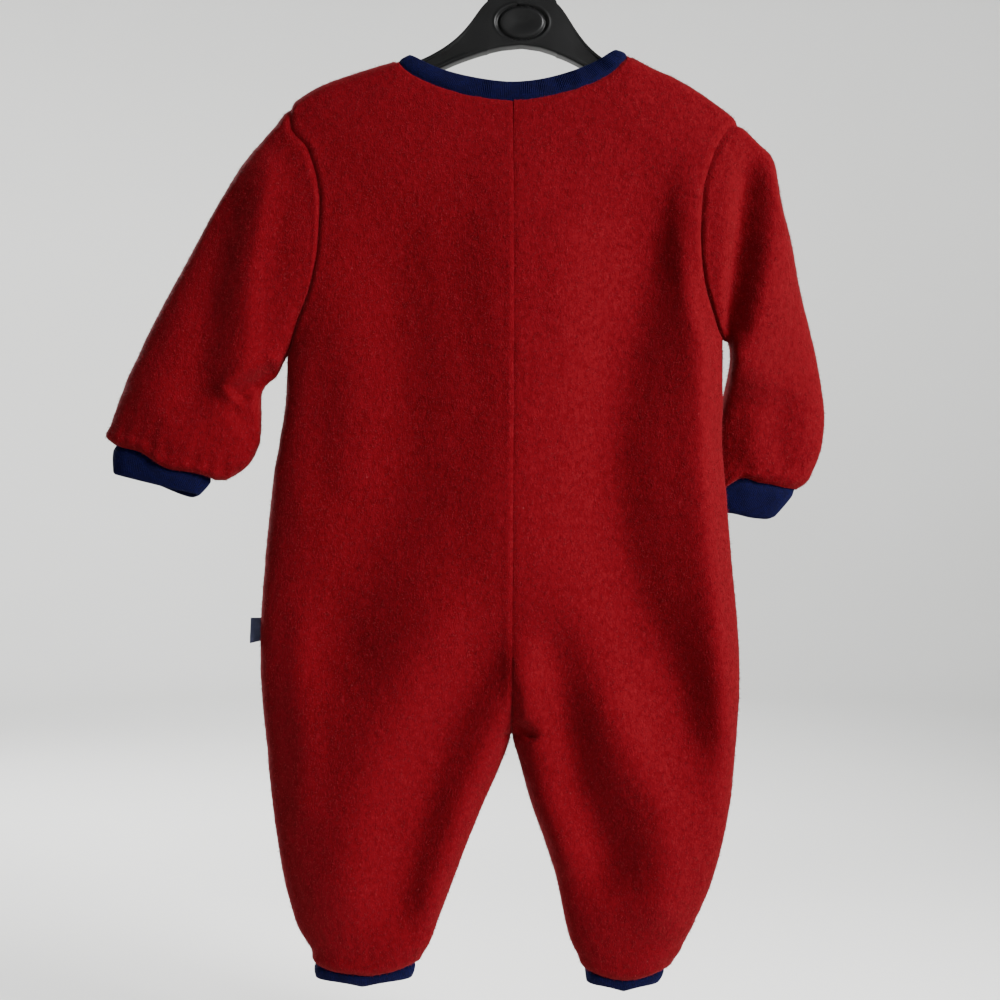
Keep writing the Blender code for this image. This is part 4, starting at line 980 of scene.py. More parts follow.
sleeves = {}
for side in SIDES:
    columns = SLEEVE[side]
    last = len(columns["depth"]) - 1
    tries = np.linspace(0, last, 400)
    row = ring_row(columns, tries)
    path = np.concatenate([(row["outer_" + axis] + row["inner_" + axis]) / 2 for axis in "xz"], axis=1)
    run = np.concatenate([[0], np.cumsum(np.hypot(*np.diff(path, axis=0).T))])
    spread = np.linspace(0, 1, SLEEVE_RINGS)
    spread = spread - 0.045 * np.sin(2 * math.pi * spread)
    at = np.interp(spread * run[-1], run, tries)
    rings = oval_rings(ring_row(columns, at), SLEEVE_ANGLES, SLEEVE_FLATNESS)
    for amount, place, width in SLEEVE_HEM[side]:
        wave = amount * MM * bell(rings[..., 0] - place * MM, width * MM)
        on_back = smooth_step(np.sin(SLEEVE_ANGLES), -0.25, 0.5)[None, :]
        rings[..., 2] += wave * on_back * smooth_step(spread[:, None], 0.80, 1.0)
    bow = armhole_ring(side, "form") - rings[0]
    rings = rings + bow[None] * (1 - smooth_step(at, 0, BOW_FADES_AT))[:, None, None]

    from_seam = (spread * run[-1])[:, None]
    from_cuff = from_seam[-1] - from_seam
    facing = np.sin(SLEEVE_ANGLES)[None, :]
    free = smooth_step(from_seam, 0, 22 * MM) * smooth_step(from_cuff, 0, 18 * MM)
    for face, way in FACES.items():
        reach = smooth_step(way * facing, 0.05, 0.6) * free
        rings[..., 1] += way * fold_relief(SLEEVE_FOLDS[side, face], rings[..., 0], rings[..., 2]) * reach
    out = grid_normals(rings, True)
    if np.sum(out * (rings - rings.mean(axis=1, keepdims=True))) < 0:
        out = -out
    inside = rings - out * FLEECE_WALL
    inside[0] = armhole_ring(side, "inner")
    seam_roll = bell(from_seam, 1.6 * MM) * 1.1 * MM
    seam_rise = bell(from_seam - 4 * MM, 2.6 * MM) * 0.4 * MM
    around = np.cumsum(np.linalg.norm(np.roll(rings, -1, axis=1) - rings, axis=-1), axis=1)
    gathered = np.exp(-from_cuff / (13 * MM)) * smooth_step(from_cuff, 0, 4 * MM)
    gathers = pucker(around, gathered, 13 * MM, 5) * 1.1 * MM
    edge = smooth_step(np.minimum(from_seam, from_cuff), 0, 5 * MM)
    bump_out = nap(rings, 101 + len(sleeves)) * edge + gathers - seam_roll + seam_rise
    surface = rings + out * (bump_out - gathered_edge(from_cuff, 1.2 * MM))[..., None]
    overlap = 1.8 * MM + 0.8 * MM * lattice_noise(around, 0 * around, 15 * MM, 73)
    overlap = overlap * (1 - smooth_step(from_cuff, 0, 9 * MM))
    to_wrist = unit(rings[-1].mean(axis=0) - rings[-12].mean(axis=0))
    surface += overlap[..., None] * to_wrist
    surface[0] = armhole_ring(side, "outer")
    piece = cloth_wall(f"sleeve_{side}_tube", surface, inside, True, RED_FLEECE)
    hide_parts(f"sleeve_{side}")
    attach(piece, "garment")
    hairs = loose_pile(f"sleeve_{side}_pile", surface, True, SLEEVE_PILE_COUNT, 300 + len(sleeves))
    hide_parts(f"sleeve_{side}")
    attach(hairs, "garment")
    sleeves[side] = {"form": rings, "inner": inside}


# ------------------------------------------------------------------------------------------
# The neck band: a strip of navy cotton rib, folded in two along its top and sewn round the neck
# edge, open at the zip. Its ribs stand square to the edge.
RIB_WALL = 2.2 * MM
BINDING_HEIGHT = 11.0 * MM
# How high each row of the band's grid stands, in millimetres. The first is tucked into the seam.
BAND_ROWS = (-0.8, 0.4, 1.3, 2.1, 3.2, 4.4, 5.6, 6.8, 8.0, 9.0, 9.7, 10.2, 10.6, 10.85, 11.0)
RIB_PITCH = 1.35 * MM
RIB_DEPTH = 0.26 * MM
POINTS_A_RIB = 4
NECK_ORDER = (("left", "front", 1), ("left", "back", -1), ("right", "back", 1), ("right", "front", -1))


def rib_group():
    """The colour and height of rib knit: loops in rows with painted shade between them, a little faded on
    top, with stray fluff.
    """
    group, given, out = cloth_group("rib_knit", ["Deep", "Yarn", "Fluff"], [], ["Height"])
    places = own_places(group)
    loops = add_node(group, "ShaderNodeTexVoronoi", {"Vector": places, "Scale": 950.0, "Randomness": 0.55})
    stitch = between(group, loops.outputs["Distance"], 0.1, 0.75, 1.0, 0.0)
    worn = blotches(group, places, 190.0, 3.0)
    haze = blotches(group, places, 1400.0, 2.0)
    # Painted shade: the colour falls to the deep tone at the loops' edges, where the knit lies low.
    colour = mixed(group, stitch, given["Deep"], given["Yarn"])
    colour = mixed(group, between(group, worn, 0.35, 0.7, 0.0, 0.5), colour, given["Deep"])
    colour = mixed(group, between(group, haze, 0.62, 0.76, 0.0, 0.5), colour, given["Fluff"])
    group.links.new(colour, out["Color"])
    group.links.new(worked_out(group, "ADD", stitch, haze), out["Height"])
    return group


# The rib's deep tone is painted shade between its loops.
NAVY_RIB = cloth_material(
    "navy_rib", rib_group(), (0.5, 0.3 * MM),
    {"Deep": (0.0005, 0.0004, 0.006), "Yarn": (0.0014, 0.0012, 0.023), "Fluff": (0.006, 0.006, 0.052)},
    Roughness=0.9, Specular_IOR_Level=0.05,
    Sheen_Weight=0.06, Sheen_Roughness=0.5, Sheen_Tint=(0.1, 0.15, 0.6, 1),
)


def along_route(points, runs, at):
    """Points of a route read at other runs along it."""
    return np.stack([np.interp(at, runs, points[:, axis]) for axis in range(3)], axis=-1)


def neck_route(part_of):
    """What part_of gives for each quarter of the neck, from one front edge round the back to the other."""
    route = []
    for side, face, onward in NECK_ORDER:
        points = part_of(side, face)[::onward]
        route.append(points if not route else points[1:])
    return np.concatenate(route)


def neck_edge(layer):
    """The neck edge of one layer of the four panels, from the zip round the back to the zip."""
    route = neck_route(lambda side, face: panels[side, face][layer][0, : panels[side, face]["neck"] + 1])
    for turn in (panels["left", "front"]["neck"], len(route) - 1 - panels["right", "front"]["neck"]):
        route[turn, 1] = 0.0
    return route


def neck_rise(side, face):
    """The way the band stands on one panel's neck edge."""
    edge = panels[side, face]["form"][0, : panels[side, face]["neck"] + 1, 0]
    return binding_rise(side, face, np.clip((edge - edge[0]) / (edge[-1] - edge[0]), 0, 1))


seam, seam_inside, rise = neck_edge("form"), neck_edge("inner"), neck_route(neck_rise)
runs = np.concatenate([[0], np.cumsum(np.linalg.norm(np.diff(seam, axis=0), axis=1))])
rib_count = round(runs[-1] / RIB_PITCH)
fine = np.linspace(0, runs[-1], rib_count * POINTS_A_RIB + 1)
seam, seam_inside, rise = (along_route(route, runs, fine) for route in (seam, seam_inside, rise))


def evened(points, reach):
    """Points along a line, each replaced by a soft average of its neighbours."""
    weights = np.hanning(2 * reach + 1) / np.hanning(2 * reach + 1).sum()
    padded = np.concatenate([points[:1].repeat(reach, 0), points, points[-1:].repeat(reach, 0)])
    return np.stack([np.convolve(padded[:, axis], weights, "valid") for axis in range(3)], axis=-1)


near_middle = bell(seam[:, :1] - NECK_CENTRE_X, 11 * MM)
seam = seam + (evened(seam, 30) - seam) * near_middle
seam_inside = seam_inside + (evened(seam_inside, 30) - seam_inside) * near_middle
rise = unit(evened(unit(rise), 30))
outward = unit(np.cross(np.gradient(seam, axis=0), rise))
outward *= np.sign(np.sum(outward * (seam - seam_inside), axis=-1, keepdims=True))
outward = unit(evened(outward, 26))
shoulder_turns = [runs[panels["left", "front"]["neck"]], runs[-1 - panels["right", "front"]["neck"]]]
at_shoulder = sum(bell(fine - turn, 11 * MM) for turn in shoulder_turns)[:, None]
ribs = RIB_DEPTH * np.cos(2 * math.pi * fine / RIB_PITCH)
ribs = ribs * (0.8 + 0.35 * np.sin(fine / (7.1 * MM)) * np.sin(fine / (2.9 * MM)))
round_top = RIB_WALL / 2
outer_rows, inner_rows = [], []
for height in np.array(BAND_ROWS) * MM:
    near_top = np.clip((height - BINDING_HEIGHT + round_top) / round_top, 0, 1)
    rolled = round_top * (1 - math.sqrt(1 - near_top**2))
    full = 0.5 * MM * math.sin(math.pi * min(height / BINDING_HEIGHT, 1))
    full = full - 0.9 * MM * min(math.exp(-height / MM), 1.2)
    wander = 0.25 * MM * np.sin(fine / (11 * MM) + height / MM * 0.3)
    share = min(max(height, 0) / (2 * MM), 1) * (1 - near_top**2 * 0.5)
    offset = full - rolled + ribs * share + wander * min(max(height, 0) / (4 * MM), 1)
    lift = rise * height * (1.16 - 0.36 * at_shoulder)
    outer_rows.append(seam + lift + outward * offset[:, None])
    inner_rows.append(seam + lift - outward * (RIB_WALL - rolled + 0.2 * ribs[:, None] * share))
outer_band, inner_band = np.array(outer_rows), np.array(inner_rows)
inner_band[0] = seam_inside - rise * 0.8 * MM + outward * 0.5 * MM
band = cloth_wall("neck_band", outer_band, inner_band, False, NAVY_RIB)
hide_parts("neck_binding")
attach(band, "garment")


# ------------------------------------------------------------------------------------------
# The cuffs at wrists and ankles: folded tubes of the same navy rib, narrower than the fleece that
# is gathered onto them, with ribs running down to the soft open end.
# The open end of each cuff, in the columns of SLEEVE.
CUFF_END = {
    end: table("outer_x outer_z inner_x inner_z depth forward", (row,)) for end, row in (
        (("wrist", "left"), (282.5, -390.0, 223.5, -404.5, 9.5, 6.0)),
        (("wrist", "right"), (-178.5, -420.5, -123.0, -415.0, 9.5, 29.0)),
        (("ankle", "left"), (141.5, -736.0, 76.0, -736.0, 11.0, 0.0)),
        (("ankle", "right"), (-93.5, -739.0, -44.5, -739.0, 11.0, 0.0)),
    )
}
CUFF_ROWS = 20
CUFF_RIB_DEPTH = 0.15 * MM
HEM_RADIUS = 1.1 * MM
CUFF_FLATNESS = 2.3


def fine_ring(ring, count):
    """A closed ring read at count even places round it, from its first point."""
    closed = np.concatenate([ring, ring[:1]])
    runs = np.concatenate([[0], np.cumsum(np.linalg.norm(np.diff(closed, axis=0), axis=1))])
    return along_route(closed, runs, np.linspace(0, runs[-1], count, endpoint=False)), runs[-1]


def rib_cuff(limb, side, seam_ring, seam_inside_ring, sag, seed):
    """A rib tube from a gathered seam to its open end, whose edge sags by what sag gives round it."""
    length_round = fine_ring(seam_ring, 8)[1]
    count = round(length_round / (RIB_PITCH * 1.05)) * POINTS_A_RIB
    start, inside = fine_ring(seam_ring, count)[0], fine_ring(seam_inside_ring, count)[0]
    row = {key: np.array([[value[0]]]) for key, value in CUFF_END[limb, side].items()}
    turns = np.linspace(0, 2 * math.pi, 400, endpoint=False)
    end = oval_rings(row, turns, CUFF_FLATNESS)[0]
    end[:, 2] -= sag(turns)
    end = fine_ring(end, count)[0]
    way = unit(end.mean(axis=0) - start.mean(axis=0))
    outer_rows, inner_rows = [], []
    for share in np.linspace(0, 1, CUFF_ROWS) ** 1.05:
        ring = start + (end - start) * share
        middle = ring.mean(axis=0)
        out = np.cross(np.roll(ring, -1, axis=0) - np.roll(ring, 1, axis=0), way)
        out = unit(out * np.sign(np.sum(out * (ring - middle))))
        reach = np.linalg.norm(end - start, axis=1)
        to_end = reach * (1 - share)
        near_end = np.clip(1 - to_end / HEM_RADIUS, 0, 1)
        rolled = HEM_RADIUS * (1 - np.sqrt(1 - near_end**2))
        down = smooth_step(share, 0, 0.12)
        tuck = 1.5 * MM * (1 - smooth_step(share, 0.05, 0.30))
        ribs = CUFF_RIB_DEPTH * np.cos(2 * math.pi * np.arange(count) / POINTS_A_RIB) * down
        waves = pucker(np.arange(count) / count * length_round, 1.0, 31 * MM, seed) * 1.1 * MM
        waves = waves * math.sin(math.pi * share)
        full = 0.9 * MM * math.sin(math.pi * share)
        outer_rows.append(ring + out * (ribs + waves + full - tuck - rolled)[:, None] + way * SEAM_GAP)
        inner_rows.append(ring - out * (RIB_WALL - waves - full - rolled)[:, None] + way * SEAM_GAP)
    outer, inner = np.array(outer_rows), np.array(inner_rows)
    inner[0] = inside + way * SEAM_GAP
    piece = cloth_wall(f"{limb}_rib_{side}", outer, inner, True, NAVY_RIB)
    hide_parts(f"{limb}_cuff_{side}")
    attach(piece, "garment")


def leg_ring(side, layer):
    """The hem of both panels of a leg as one ring, from the outer seam over the back and round."""
    back, front = (panels[side, face][layer][-1] for face in ("back", "front"))
    ring = np.concatenate([back[::-1], front[1:-1]])
    ring[0, 1] = ring[len(back) - 1, 1] = 0.0
    return ring


def left_wrist_sag(turns):
    """How far the edge hangs down, at the front by the body."""
    return 3.5 * MM * smooth_step(-np.sin(turns), 0, 0.7) * smooth_step(-np.cos(turns), -0.3, 0.7)


def right_wrist_sag(turns):
    """The same, at the back away from the body."""
    return 2.0 * MM * smooth_step(np.sin(turns), 0, 0.7) * smooth_step(np.cos(turns), -0.2, 0.5)


def ankle_sag(turns):
    """The same, in the middle of the back."""
    return 3.6 * MM * np.exp(-np.abs(np.cos(turns) / 0.40) ** 1.3) * smooth_step(np.sin(turns), -0.2, 0.6)


for side, wrist_sag, wrist_seed, ankle_seed in (
    ("left", left_wrist_sag, 3, 8),
    ("right", right_wrist_sag, 5, 10),
):
    rib_cuff("wrist", side, sleeves[side]["form"][-1], sleeves[side]["inner"][-1], wrist_sag, wrist_seed)
    rib_cuff("ankle", side, leg_ring(side, "form"), leg_ring(side, "inner"), ankle_sag, ankle_seed)


# ------------------------------------------------------------------------------------------
# The side label: a short loop of woven navy tape, folded and caught in the left side seam.
LABEL_TOP = -489.0 * MM
LABEL_BOTTOM = -505.0 * MM
LABEL_REACH = 7.0 * MM
LABEL_HALF_THICKNESS = 0.62 * MM
LABEL_WALL = 0.4 * MM
LABEL_DROOP = 1.5 * MM
LABEL_TUCKED = 0.3 * MM  # how far its ends stand in the seam


def tape_group():
    """The colour and height of a plain woven tape, lighter where the weave stands high and darker where it
    lies low: painted highlight and painted shade.
    """
    group, given, out = cloth_group("woven_tape", ["Warp", "Lit And Worn Weave"], [], ["Height"])
    places = own_places(group)
    yarns = [
        add_node(group, "ShaderNodeTexWave", {"Vector": places, "Scale": scale}, bands_direction=way)
        for way, scale in (("X", 620.0), ("Z", 430.0))
    ]
    weave = worked_out(group, "MULTIPLY", *(yarn.outputs["Fac"] for yarn in yarns))
    wear = blotches(group, places, 420.0, 3.0)
    # Painted highlight and shade: the colour is lighter on the weave's raised crossings and darker where it
    # lies low.
    colour = mixed(group, weave, given["Warp"], given["Lit And Worn Weave"])
    colour = mixed(group, between(group, wear, 0.55, 0.8, 0.0, 0.45), colour, given["Lit And Worn Weave"])
    group.links.new(colour, out["Color"])
    group.links.new(weave, out["Height"])
    return group


TAPE_GROUP = tape_group()


def tape_material(name, shaded_weave, lit_and_worn_weave):
    """Woven tape in two close tones: painted shade where the weave lies low and a painted highlight on its
    raised crossings, which the worn blotches also take.
    """
    colours = {"Warp": shaded_weave, "Lit And Worn Weave": lit_and_worn_weave}
    return cloth_material(name, TAPE_GROUP, (0.35, 0.2 * MM), colours, Roughness=0.75, Specular_IOR_Level=0.3)


# The label tape's darker tone is painted shade in its weave, its lighter one a painted highlight.
LABEL_TAPE = tape_material("label_tape", (0.006, 0.007, 0.022), (0.030, 0.033, 0.075))

bend = np.linspace(-math.pi / 2, math.pi / 2, 13)
straight = np.linspace(-LABEL_TUCKED, LABEL_REACH - LABEL_HALF_THICKNESS, 12)[:-1]
fold_x = np.concatenate([straight, LABEL_REACH + LABEL_HALF_THICKNESS * (np.cos(bend) - 1), straight[::-1]])
fold_y = LABEL_HALF_THICKNESS * np.concatenate([-np.ones(11), np.sin(bend), np.ones(11)])
down = np.linspace(0, 1, 25)[:, None]
label_z = LABEL_TOP + (LABEL_BOTTOM - LABEL_TOP) * down - LABEL_DROOP * fold_x / LABEL_REACH * down
seam_x = smooth_line(HALF_BODY["left"]["z"], HALF_BODY["left"]["outer"], label_z)
curl = 0.9 * MM * (np.clip(fold_x, 0, 1) / LABEL_REACH) ** 2 * (0.4 + down)
wave = 0.25 * MM * np.sin(down * 7 + fold_x / (3 * MM))
label_outer = np.stack([seam_x + fold_x, fold_y + curl + wave * (fold_x > 0), label_z + 0 * fold_x], axis=-1)
cross = grid_normals(label_outer, False)
cross = cross * np.sign(np.sum(cross[..., 1] * fold_y))
label = cloth_wall("side_label_loop", label_outer, label_outer - cross * LABEL_WALL, False, LABEL_TAPE)
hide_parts("side_label")
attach(label, "garment")


# ------------------------------------------------------------------------------------------
# The zip: two navy woven tapes sewn behind the front edges, moulded teeth that mesh down the
# middle, a plated stop at the foot, and a plated slider at the neck with its tab hanging down.
TAPE_WIDTH = 10.0 * MM
TAPE_WALL = 0.8 * MM
CHAIN_HALF_WIDTH = 2.8 * MM
TOOTH_PITCH = 1.5 * MM
TOOTH_HEIGHT = 0.86 * MM
TOOTH_NEAR = 0.3 * MM  # the teeth's two faces, behind the face of the cloth
TOOTH_FAR = 2.3 * MM
STOP_LENGTH = 5.0 * MM

front_edge = panels["left", "front"]["form"][:, 0]
zip_route = np.concatenate([outer_band[-1:, 0], front_edge[front_edge[:, 2] > ZIP_BOTTOM - ZIP_CLOSES_IN]])
zip_route[:, 0] = centre_x(zip_route[:, 2])


def on_zip(z):
    """The face of the cloth at heights down the zip."""
    order = np.argsort(zip_route[:, 2])
    return np.stack([centre_x(z), np.interp(z, zip_route[order, 2], zip_route[order, 1]), z], axis=-1)


# The zip tapes' darker tone is painted shade in their weave, their lighter one a painted highlight.
ZIP_TAPE = tape_material("zip_tape", (0.004, 0.006, 0.030), (0.010, 0.015, 0.070))
tape_z = np.linspace(front_edge[0, 2] - MM, ZIP_BOTTOM - ZIP_CLOSES_IN, 130)
for side, sign in SIDES.items():
    across = sign * np.linspace(SEAM_GAP, TAPE_WIDTH, 9)
    face_points = on_zip(tape_z)[:, None] + np.stack([across, 0 * across, 0 * across], axis=-1)
    ripple = 0.06 * MM * np.sin(tape_z / (9 * MM))[:, None] * (np.abs(across) / TAPE_WIDTH)
    behind = FLEECE_WALL + 0.95 * MM + ripple
    outer, inner = face_points.copy(), face_points.copy()
    outer[..., 1] += behind
    inner[..., 1] += behind + TAPE_WALL * 0.8
    piece = cloth_wall(f"zip_tape_{side}_strip", outer, inner, False, ZIP_TAPE)
    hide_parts(f"zip_tape_{side}")
    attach(piece, "garment")

teeth_material = toned_material(
    "moulded_teeth", ((0.004, 0.007, 0.040), (0.010, 0.016, 0.080)), 300.0, gloss=(0.34, 0.52),
    Specular_IOR_Level=0.4,
)
stop_top = ZIP_BOTTOM + STOP_LENGTH
tooth_points, tooth_faces = [], []
tooth_z = np.arange(outer_band[-1, 0, 2] - MM, stop_top + MM, -TOOTH_PITCH / 2)
for count, place in enumerate(on_zip(tooth_z)):
    sign = 1 if count % 2 else -1
    base = len(tooth_points)
    root, neck_x, head = sign * CHAIN_HALF_WIDTH, sign * 0.7 * MM, -sign * 0.75 * MM
    half = TOOTH_HEIGHT / 2
    lower = [(root, -half), (neck_x, -half * 0.62), (head, -half)]
    outline = lower + [(x, -z) for x, z in lower[::-1]]
    for shrink, depth in ((0.72, TOOTH_NEAR), (1.0, TOOTH_NEAR + 0.3 * MM), (1.0, TOOTH_FAR)):
        middle_x = (root + head) / 2
        for x, z in outline:
            corner_x = middle_x + (x - middle_x) * (shrink + 1) / 2
            tooth_points.append(place + np.array([corner_x, depth, z * shrink]))
    walls = [tuple(base + corner for corner in face) for face in grid_faces(3, 6, True)]
    caps = [tuple(range(base, base + 6))[::-1], tuple(range(base + 12, base + 18))]
    tooth_faces += [face if sign > 0 else face[::-1] for face in walls + caps]
teeth = linked_mesh("zip_teeth_run", tooth_points, tooth_faces, teeth_material, smooth=False)
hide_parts("zip_chain")
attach(teeth, "garment")

plate_material = toned_material("plated_metal", ((0.50, 0.50, 0.49), (0.66, 0.66, 0.65)), 160.0, Metallic=1.0)
plate_tree = plate_material.node_tree
scratches = blotches(plate_tree, own_places(plate_tree), 900.0, 3.0, (1.0, 1.0, 0.12))
scratched = between(plate_tree, scratches, 0.35, 0.7, 0.22, 0.46)
plate_tree.links.new(scratched, plate_tree.nodes["Principled BSDF"].inputs["Roughness"])


def softened(name, node_name, radius):
    """A metal piece on the form of a plain one, with its edges rounded."""
    node = nodes[node_name]
    shape = bmesh.new()
    shape.from_mesh(node.data)
    bmesh.ops.remove_doubles(shape, verts=shape.verts, dist=1e-6)
    bmesh.ops.dissolve_limit(shape, angle_limit=math.radians(2), verts=shape.verts, edges=shape.edges)
    joined = [edge for edge in shape.edges if len(edge.link_faces) == 2]
    sharp = [edge for edge in joined if edge.calc_face_angle() > math.radians(25)]
    bmesh.ops.bevel(
        shape, geom=sharp, offset=radius, segments=3, profile=0.5, affect="EDGES", clamp_overlap=True
    )
    mesh = bpy.data.meshes.new(name)
    shape.to_mesh(mesh)
    shape.free()
    mesh.materials.clear()
    mesh.materials.append(plate_material)
    for polygon in mesh.polygons:
        polygon.material_index = 0
    mesh.shade_smooth()
    mesh.set_sharp_from_angle(angle=math.radians(35))
    piece = bpy.data.objects.new(name, mesh)
    bpy.context.scene.collection.objects.link(piece)
    piece.matrix_world = node.matrix_world.copy()
    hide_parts(node_name)
    return piece


for name, node_name, body, radius in (
    ("zip_foot_stop", "zip_stop", "garment", 0.35 * MM),
    ("slider_plate", "zip_slider", "garment", 0.22 * MM),
    ("slider_tab", "zip_pull", "pull", 0.22 * MM),
):
    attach(softened(name, node_name, radius), body)


# ------------------------------------------------------------------------------------------
# The hanger: one black plastic moulding, with raised rims along its arms and an oval boss in the
# middle, grooved round and a little dished, with a notch where the hook's wire goes in.
HANGER = table("x top bottom thick", (
    (154.0, -139.5, -146.5, 2.5),
    (150.0, -136.0, -147.5, 4.5),
    (142.5, -130.6, -143.5, 4.8),
    (129.0, -123.8, -137.0, 5.0),
    (104.0, -115.6, -128.5, 5.0),
    (84.5, -110.8, -123.0, 4.6),
    (76.0, -108.6, -120.6, 4.6),
    (68.0, -105.8, -118.0, 4.8),
    (56.0, -99.5, -112.5, 5.0),
    (46.0, -92.5, -108.0, 5.0),
    (38.0, -84.5, -105.0, 5.0),
    (32.0, -76.5, -103.0, 5.2),
    (27.0, -68.5, -101.3, 5.4),
    (22.0, -62.8, -99.8, 5.5),
    (14.0, -59.6, -98.0, 5.5),
    (0.0, -58.5, -96.6, 5.5),
    (-12.0, -59.6, -98.3, 5.5),
    (-20.0, -62.5, -100.8, 5.5),
    (-25.0, -67.0, -102.8, 5.4),
    (-31.0, -76.5, -105.5, 5.2),
    (-38.0, -88.0, -109.0, 5.0),
    (-46.0, -98.0, -113.5, 5.0),
    (-56.0, -106.0, -119.0, 5.0),
    (-72.0, -114.0, -127.0, 5.0),
    (-90.0, -121.5, -134.5, 5.0),
    (-106.0, -127.5, -141.0, 5.0),
    (-127.0, -137.0, -151.0, 5.0),
    (-139.0, -146.5, -158.0, 4.5),
    (-143.0, -150.5, -157.5, 2.5),
))
HANGER_TOP = -58.5 * MM
HANGER_EDGE_RADIUS = 1.5 * MM
WEB_SUNK = 0.9 * MM  # how far the arms' faces lie below their rims
BOSS_MIDDLE = (0.3 * MM, -81.0 * MM)
BOSS_HALF = (16.4 * MM, 11.4 * MM)
NOTCH_HALF_WIDTH = 2.6 * MM
NOTCH_DEPTH = 4.0 * MM

plastic = toned_material(
    "black_plastic", ((0.0022, 0.0022, 0.0022), (0.0045, 0.0045, 0.0047)), 45.0, 3.0, (0.30, 0.44),
    Specular_IOR_Level=0.14,
)
plastic_tree = plastic.node_tree
grain = blotches(plastic_tree, own_places(plastic_tree), 1600.0)
bump = add_node(plastic_tree, "ShaderNodeBump", {"Height": grain, "Strength": 0.12, "Distance": 0.1 * MM})
plastic_tree.links.new(bump.outputs["Normal"], plastic_tree.nodes["Principled BSDF"].inputs["Normal"])

order = np.argsort(HANGER["x"])
hanger_x = {name: values[order] for name, values in HANGER.items()}
stations = np.unique(np.concatenate([
    np.linspace(HANGER["x"].min(), -24 * MM, 62), np.linspace(-24 * MM, 24 * MM, 100),
    np.linspace(24 * MM, HANGER["x"].max(), 66),
]))
top, bottom, thick = (
    np.interp(stations, hanger_x["x"], hanger_x[name]) for name in ("top", "bottom", "thick")
)
for values in (top, bottom, thick):
    padded = np.concatenate([np.full(4, values[0]), values, np.full(4, values[-1])])
    values[4:-4] = np.convolve(padded, np.hanning(11)[1:-1] / np.hanning(11).sum(), "valid")[4:-4]


def boss_relief(x, z):
    """How far the moulding's face stands out over and round the boss."""
    out = np.hypot((x - BOSS_MIDDLE[0]) / BOSS_HALF[0], (z - BOSS_MIDDLE[1]) / BOSS_HALF[1])
    groove = bell(out - 1.0, 0.09) * -1.4 * MM
    dish = (1 - smooth_step(out, 0.92, 0.99)) * (0.5 * MM - 1.3 * MM * (1 - smooth_step(out, 0.0, 0.88)))
    lip = bell(out - 1.14, 0.06) * 0.5 * MM
    return groove + dish + lip


down_face = np.linspace(0, 1, 54)
corner = np.linspace(0, math.pi / 2, 7)[1:]
rows = []
for facing in (1, -1):
    high, low = top - HANGER_EDGE_RADIUS * 0.9, bottom + HANGER_EDGE_RADIUS * 0.9
    z = high + (low - high) * down_face[:, None]
    rim = np.minimum(top - z, z - bottom)
    sunk = WEB_SUNK * smooth_step(rim, 2.6 * MM, 3.6 * MM) * smooth_step(np.abs(stations), 26 * MM, 64 * MM)
    sunk = sunk * (1 - smooth_step(np.abs(stations), 126 * MM, 134 * MM))
    relief = boss_relief(stations, z) * (1 - smooth_step(np.abs(stations), 22 * MM, 25 * MM))
    y = facing * (thick - sunk + relief)
    past_notch = np.abs(stations) - NOTCH_HALF_WIDTH
    notch = NOTCH_DEPTH * (1 - smooth_step(past_notch, -0.3 * MM, 0.3 * MM))
    z = z - notch * (1 - down_face[:, None]) ** 6
    rows.append(np.stack([stations + 0 * z, y, z], axis=-1))
face_back, face_front = rows
top_edge, bottom_edge = [], []
for turn in np.linspace(0, math.pi, 12)[1:-1]:
    for edge, row, sign in ((top_edge, 0, 1), (bottom_edge, -1, -1)):
        middle_y = (face_back[row, :, 1] + face_front[row, :, 1]) / 2
        half_y = (face_back[row, :, 1] - face_front[row, :, 1]) / 2
        flat = np.sign(np.cos(turn)) * abs(np.cos(turn)) ** 0.45
        rise = abs(np.sin(turn)) ** 0.6
        edge.append(np.stack([
            stations, middle_y + half_y * flat, face_back[row, :, 2] + sign * HANGER_EDGE_RADIUS * 0.9 * rise
        ], axis=-1))
section = np.concatenate([face_back[::-1], top_edge, face_front, bottom_edge[::-1]])
rounds, along = section.shape[:2]
hanger_faces = grid_faces(rounds, along, closed_down=True)
hanger_faces.append(tuple(r * along for r in range(rounds)))
hanger_faces.append(tuple(r * along + along - 1 for r in reversed(range(rounds))))
hanger = linked_mesh("hanger_moulding", section, hanger_faces, plastic)
hanger.data.set_sharp_from_angle(angle=math.radians(50))
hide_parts("hanger_body")
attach(hanger, "garment")


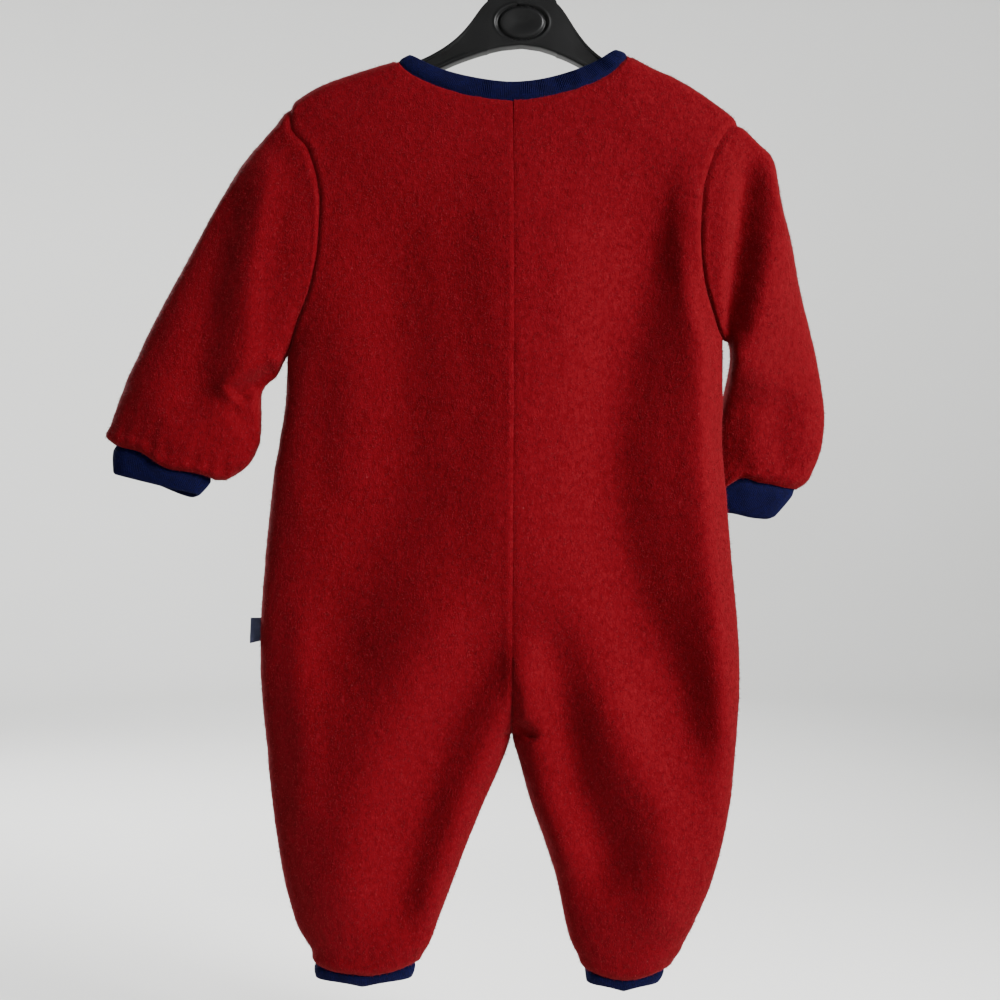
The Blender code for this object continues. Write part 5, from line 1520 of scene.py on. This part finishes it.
# ------------------------------------------------------------------------------------------
# The hook: a plated steel wire, set in the boss's notch and bent round over a rail.
HOOK_WIRE = 1.6 * MM  # the wire's radius
HOOK_RADIUS = 19.0 * MM
HOOK_RINGS = 180
HOOK_SIDES = 20
hook_middle_z = HOOK_WIRE - HOOK_RADIUS
route = [(0.0, HANGER_TOP - 2.5 * MM), (0.0, -50 * MM), (0.6 * MM, -45 * MM), (3.0 * MM, -40.5 * MM)]
for angle in np.linspace(-68, 212, 26):
    turn = math.radians(angle)
    route.append((HOOK_RADIUS * math.cos(turn), hook_middle_z + HOOK_RADIUS * math.sin(turn)))
route = np.array(route)
runs = np.concatenate([[0], np.cumsum(np.hypot(*np.diff(route, axis=0).T))])
fine = np.linspace(0, runs[-1], HOOK_RINGS)
route = np.stack([smooth_line(runs, route[:, axis], fine) for axis in (0, 1)], axis=-1)
heading = unit(np.gradient(route, axis=0))
to_tip = np.clip((runs[-1] - fine) / HOOK_WIRE, 0, 1)
radius = HOOK_WIRE * np.sqrt(np.maximum(1 - (1 - to_tip) ** 2, 0.02))
turns = np.linspace(0, 2 * math.pi, HOOK_SIDES, endpoint=False)
hook_points = [
    (x - run_z * r * math.cos(t), r * math.sin(t), z + run_x * r * math.cos(t))
    for (x, z), (run_x, run_z), r in zip(route, heading, radius)
    for t in turns
]
hook_faces = grid_faces(HOOK_RINGS, HOOK_SIDES, True)
last_ring = (HOOK_RINGS - 1) * HOOK_SIDES
hook_faces += [tuple(range(HOOK_SIDES))[::-1], tuple(range(last_ring, last_ring + HOOK_SIDES))]
steel = toned_material(
    "hook_wire", ((0.55, 0.55, 0.55), (0.68, 0.68, 0.67)), 240.0, 3.0, (0.18, 0.36), Metallic=1.0
)
wire_hook = linked_mesh("hook_bent_wire", hook_points, hook_faces, steel)
wire_hook.data.set_sharp_from_angle(angle=math.radians(60))
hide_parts("hook")
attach(wire_hook, "garment")


# The box round every piece that is shown.
low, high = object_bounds()
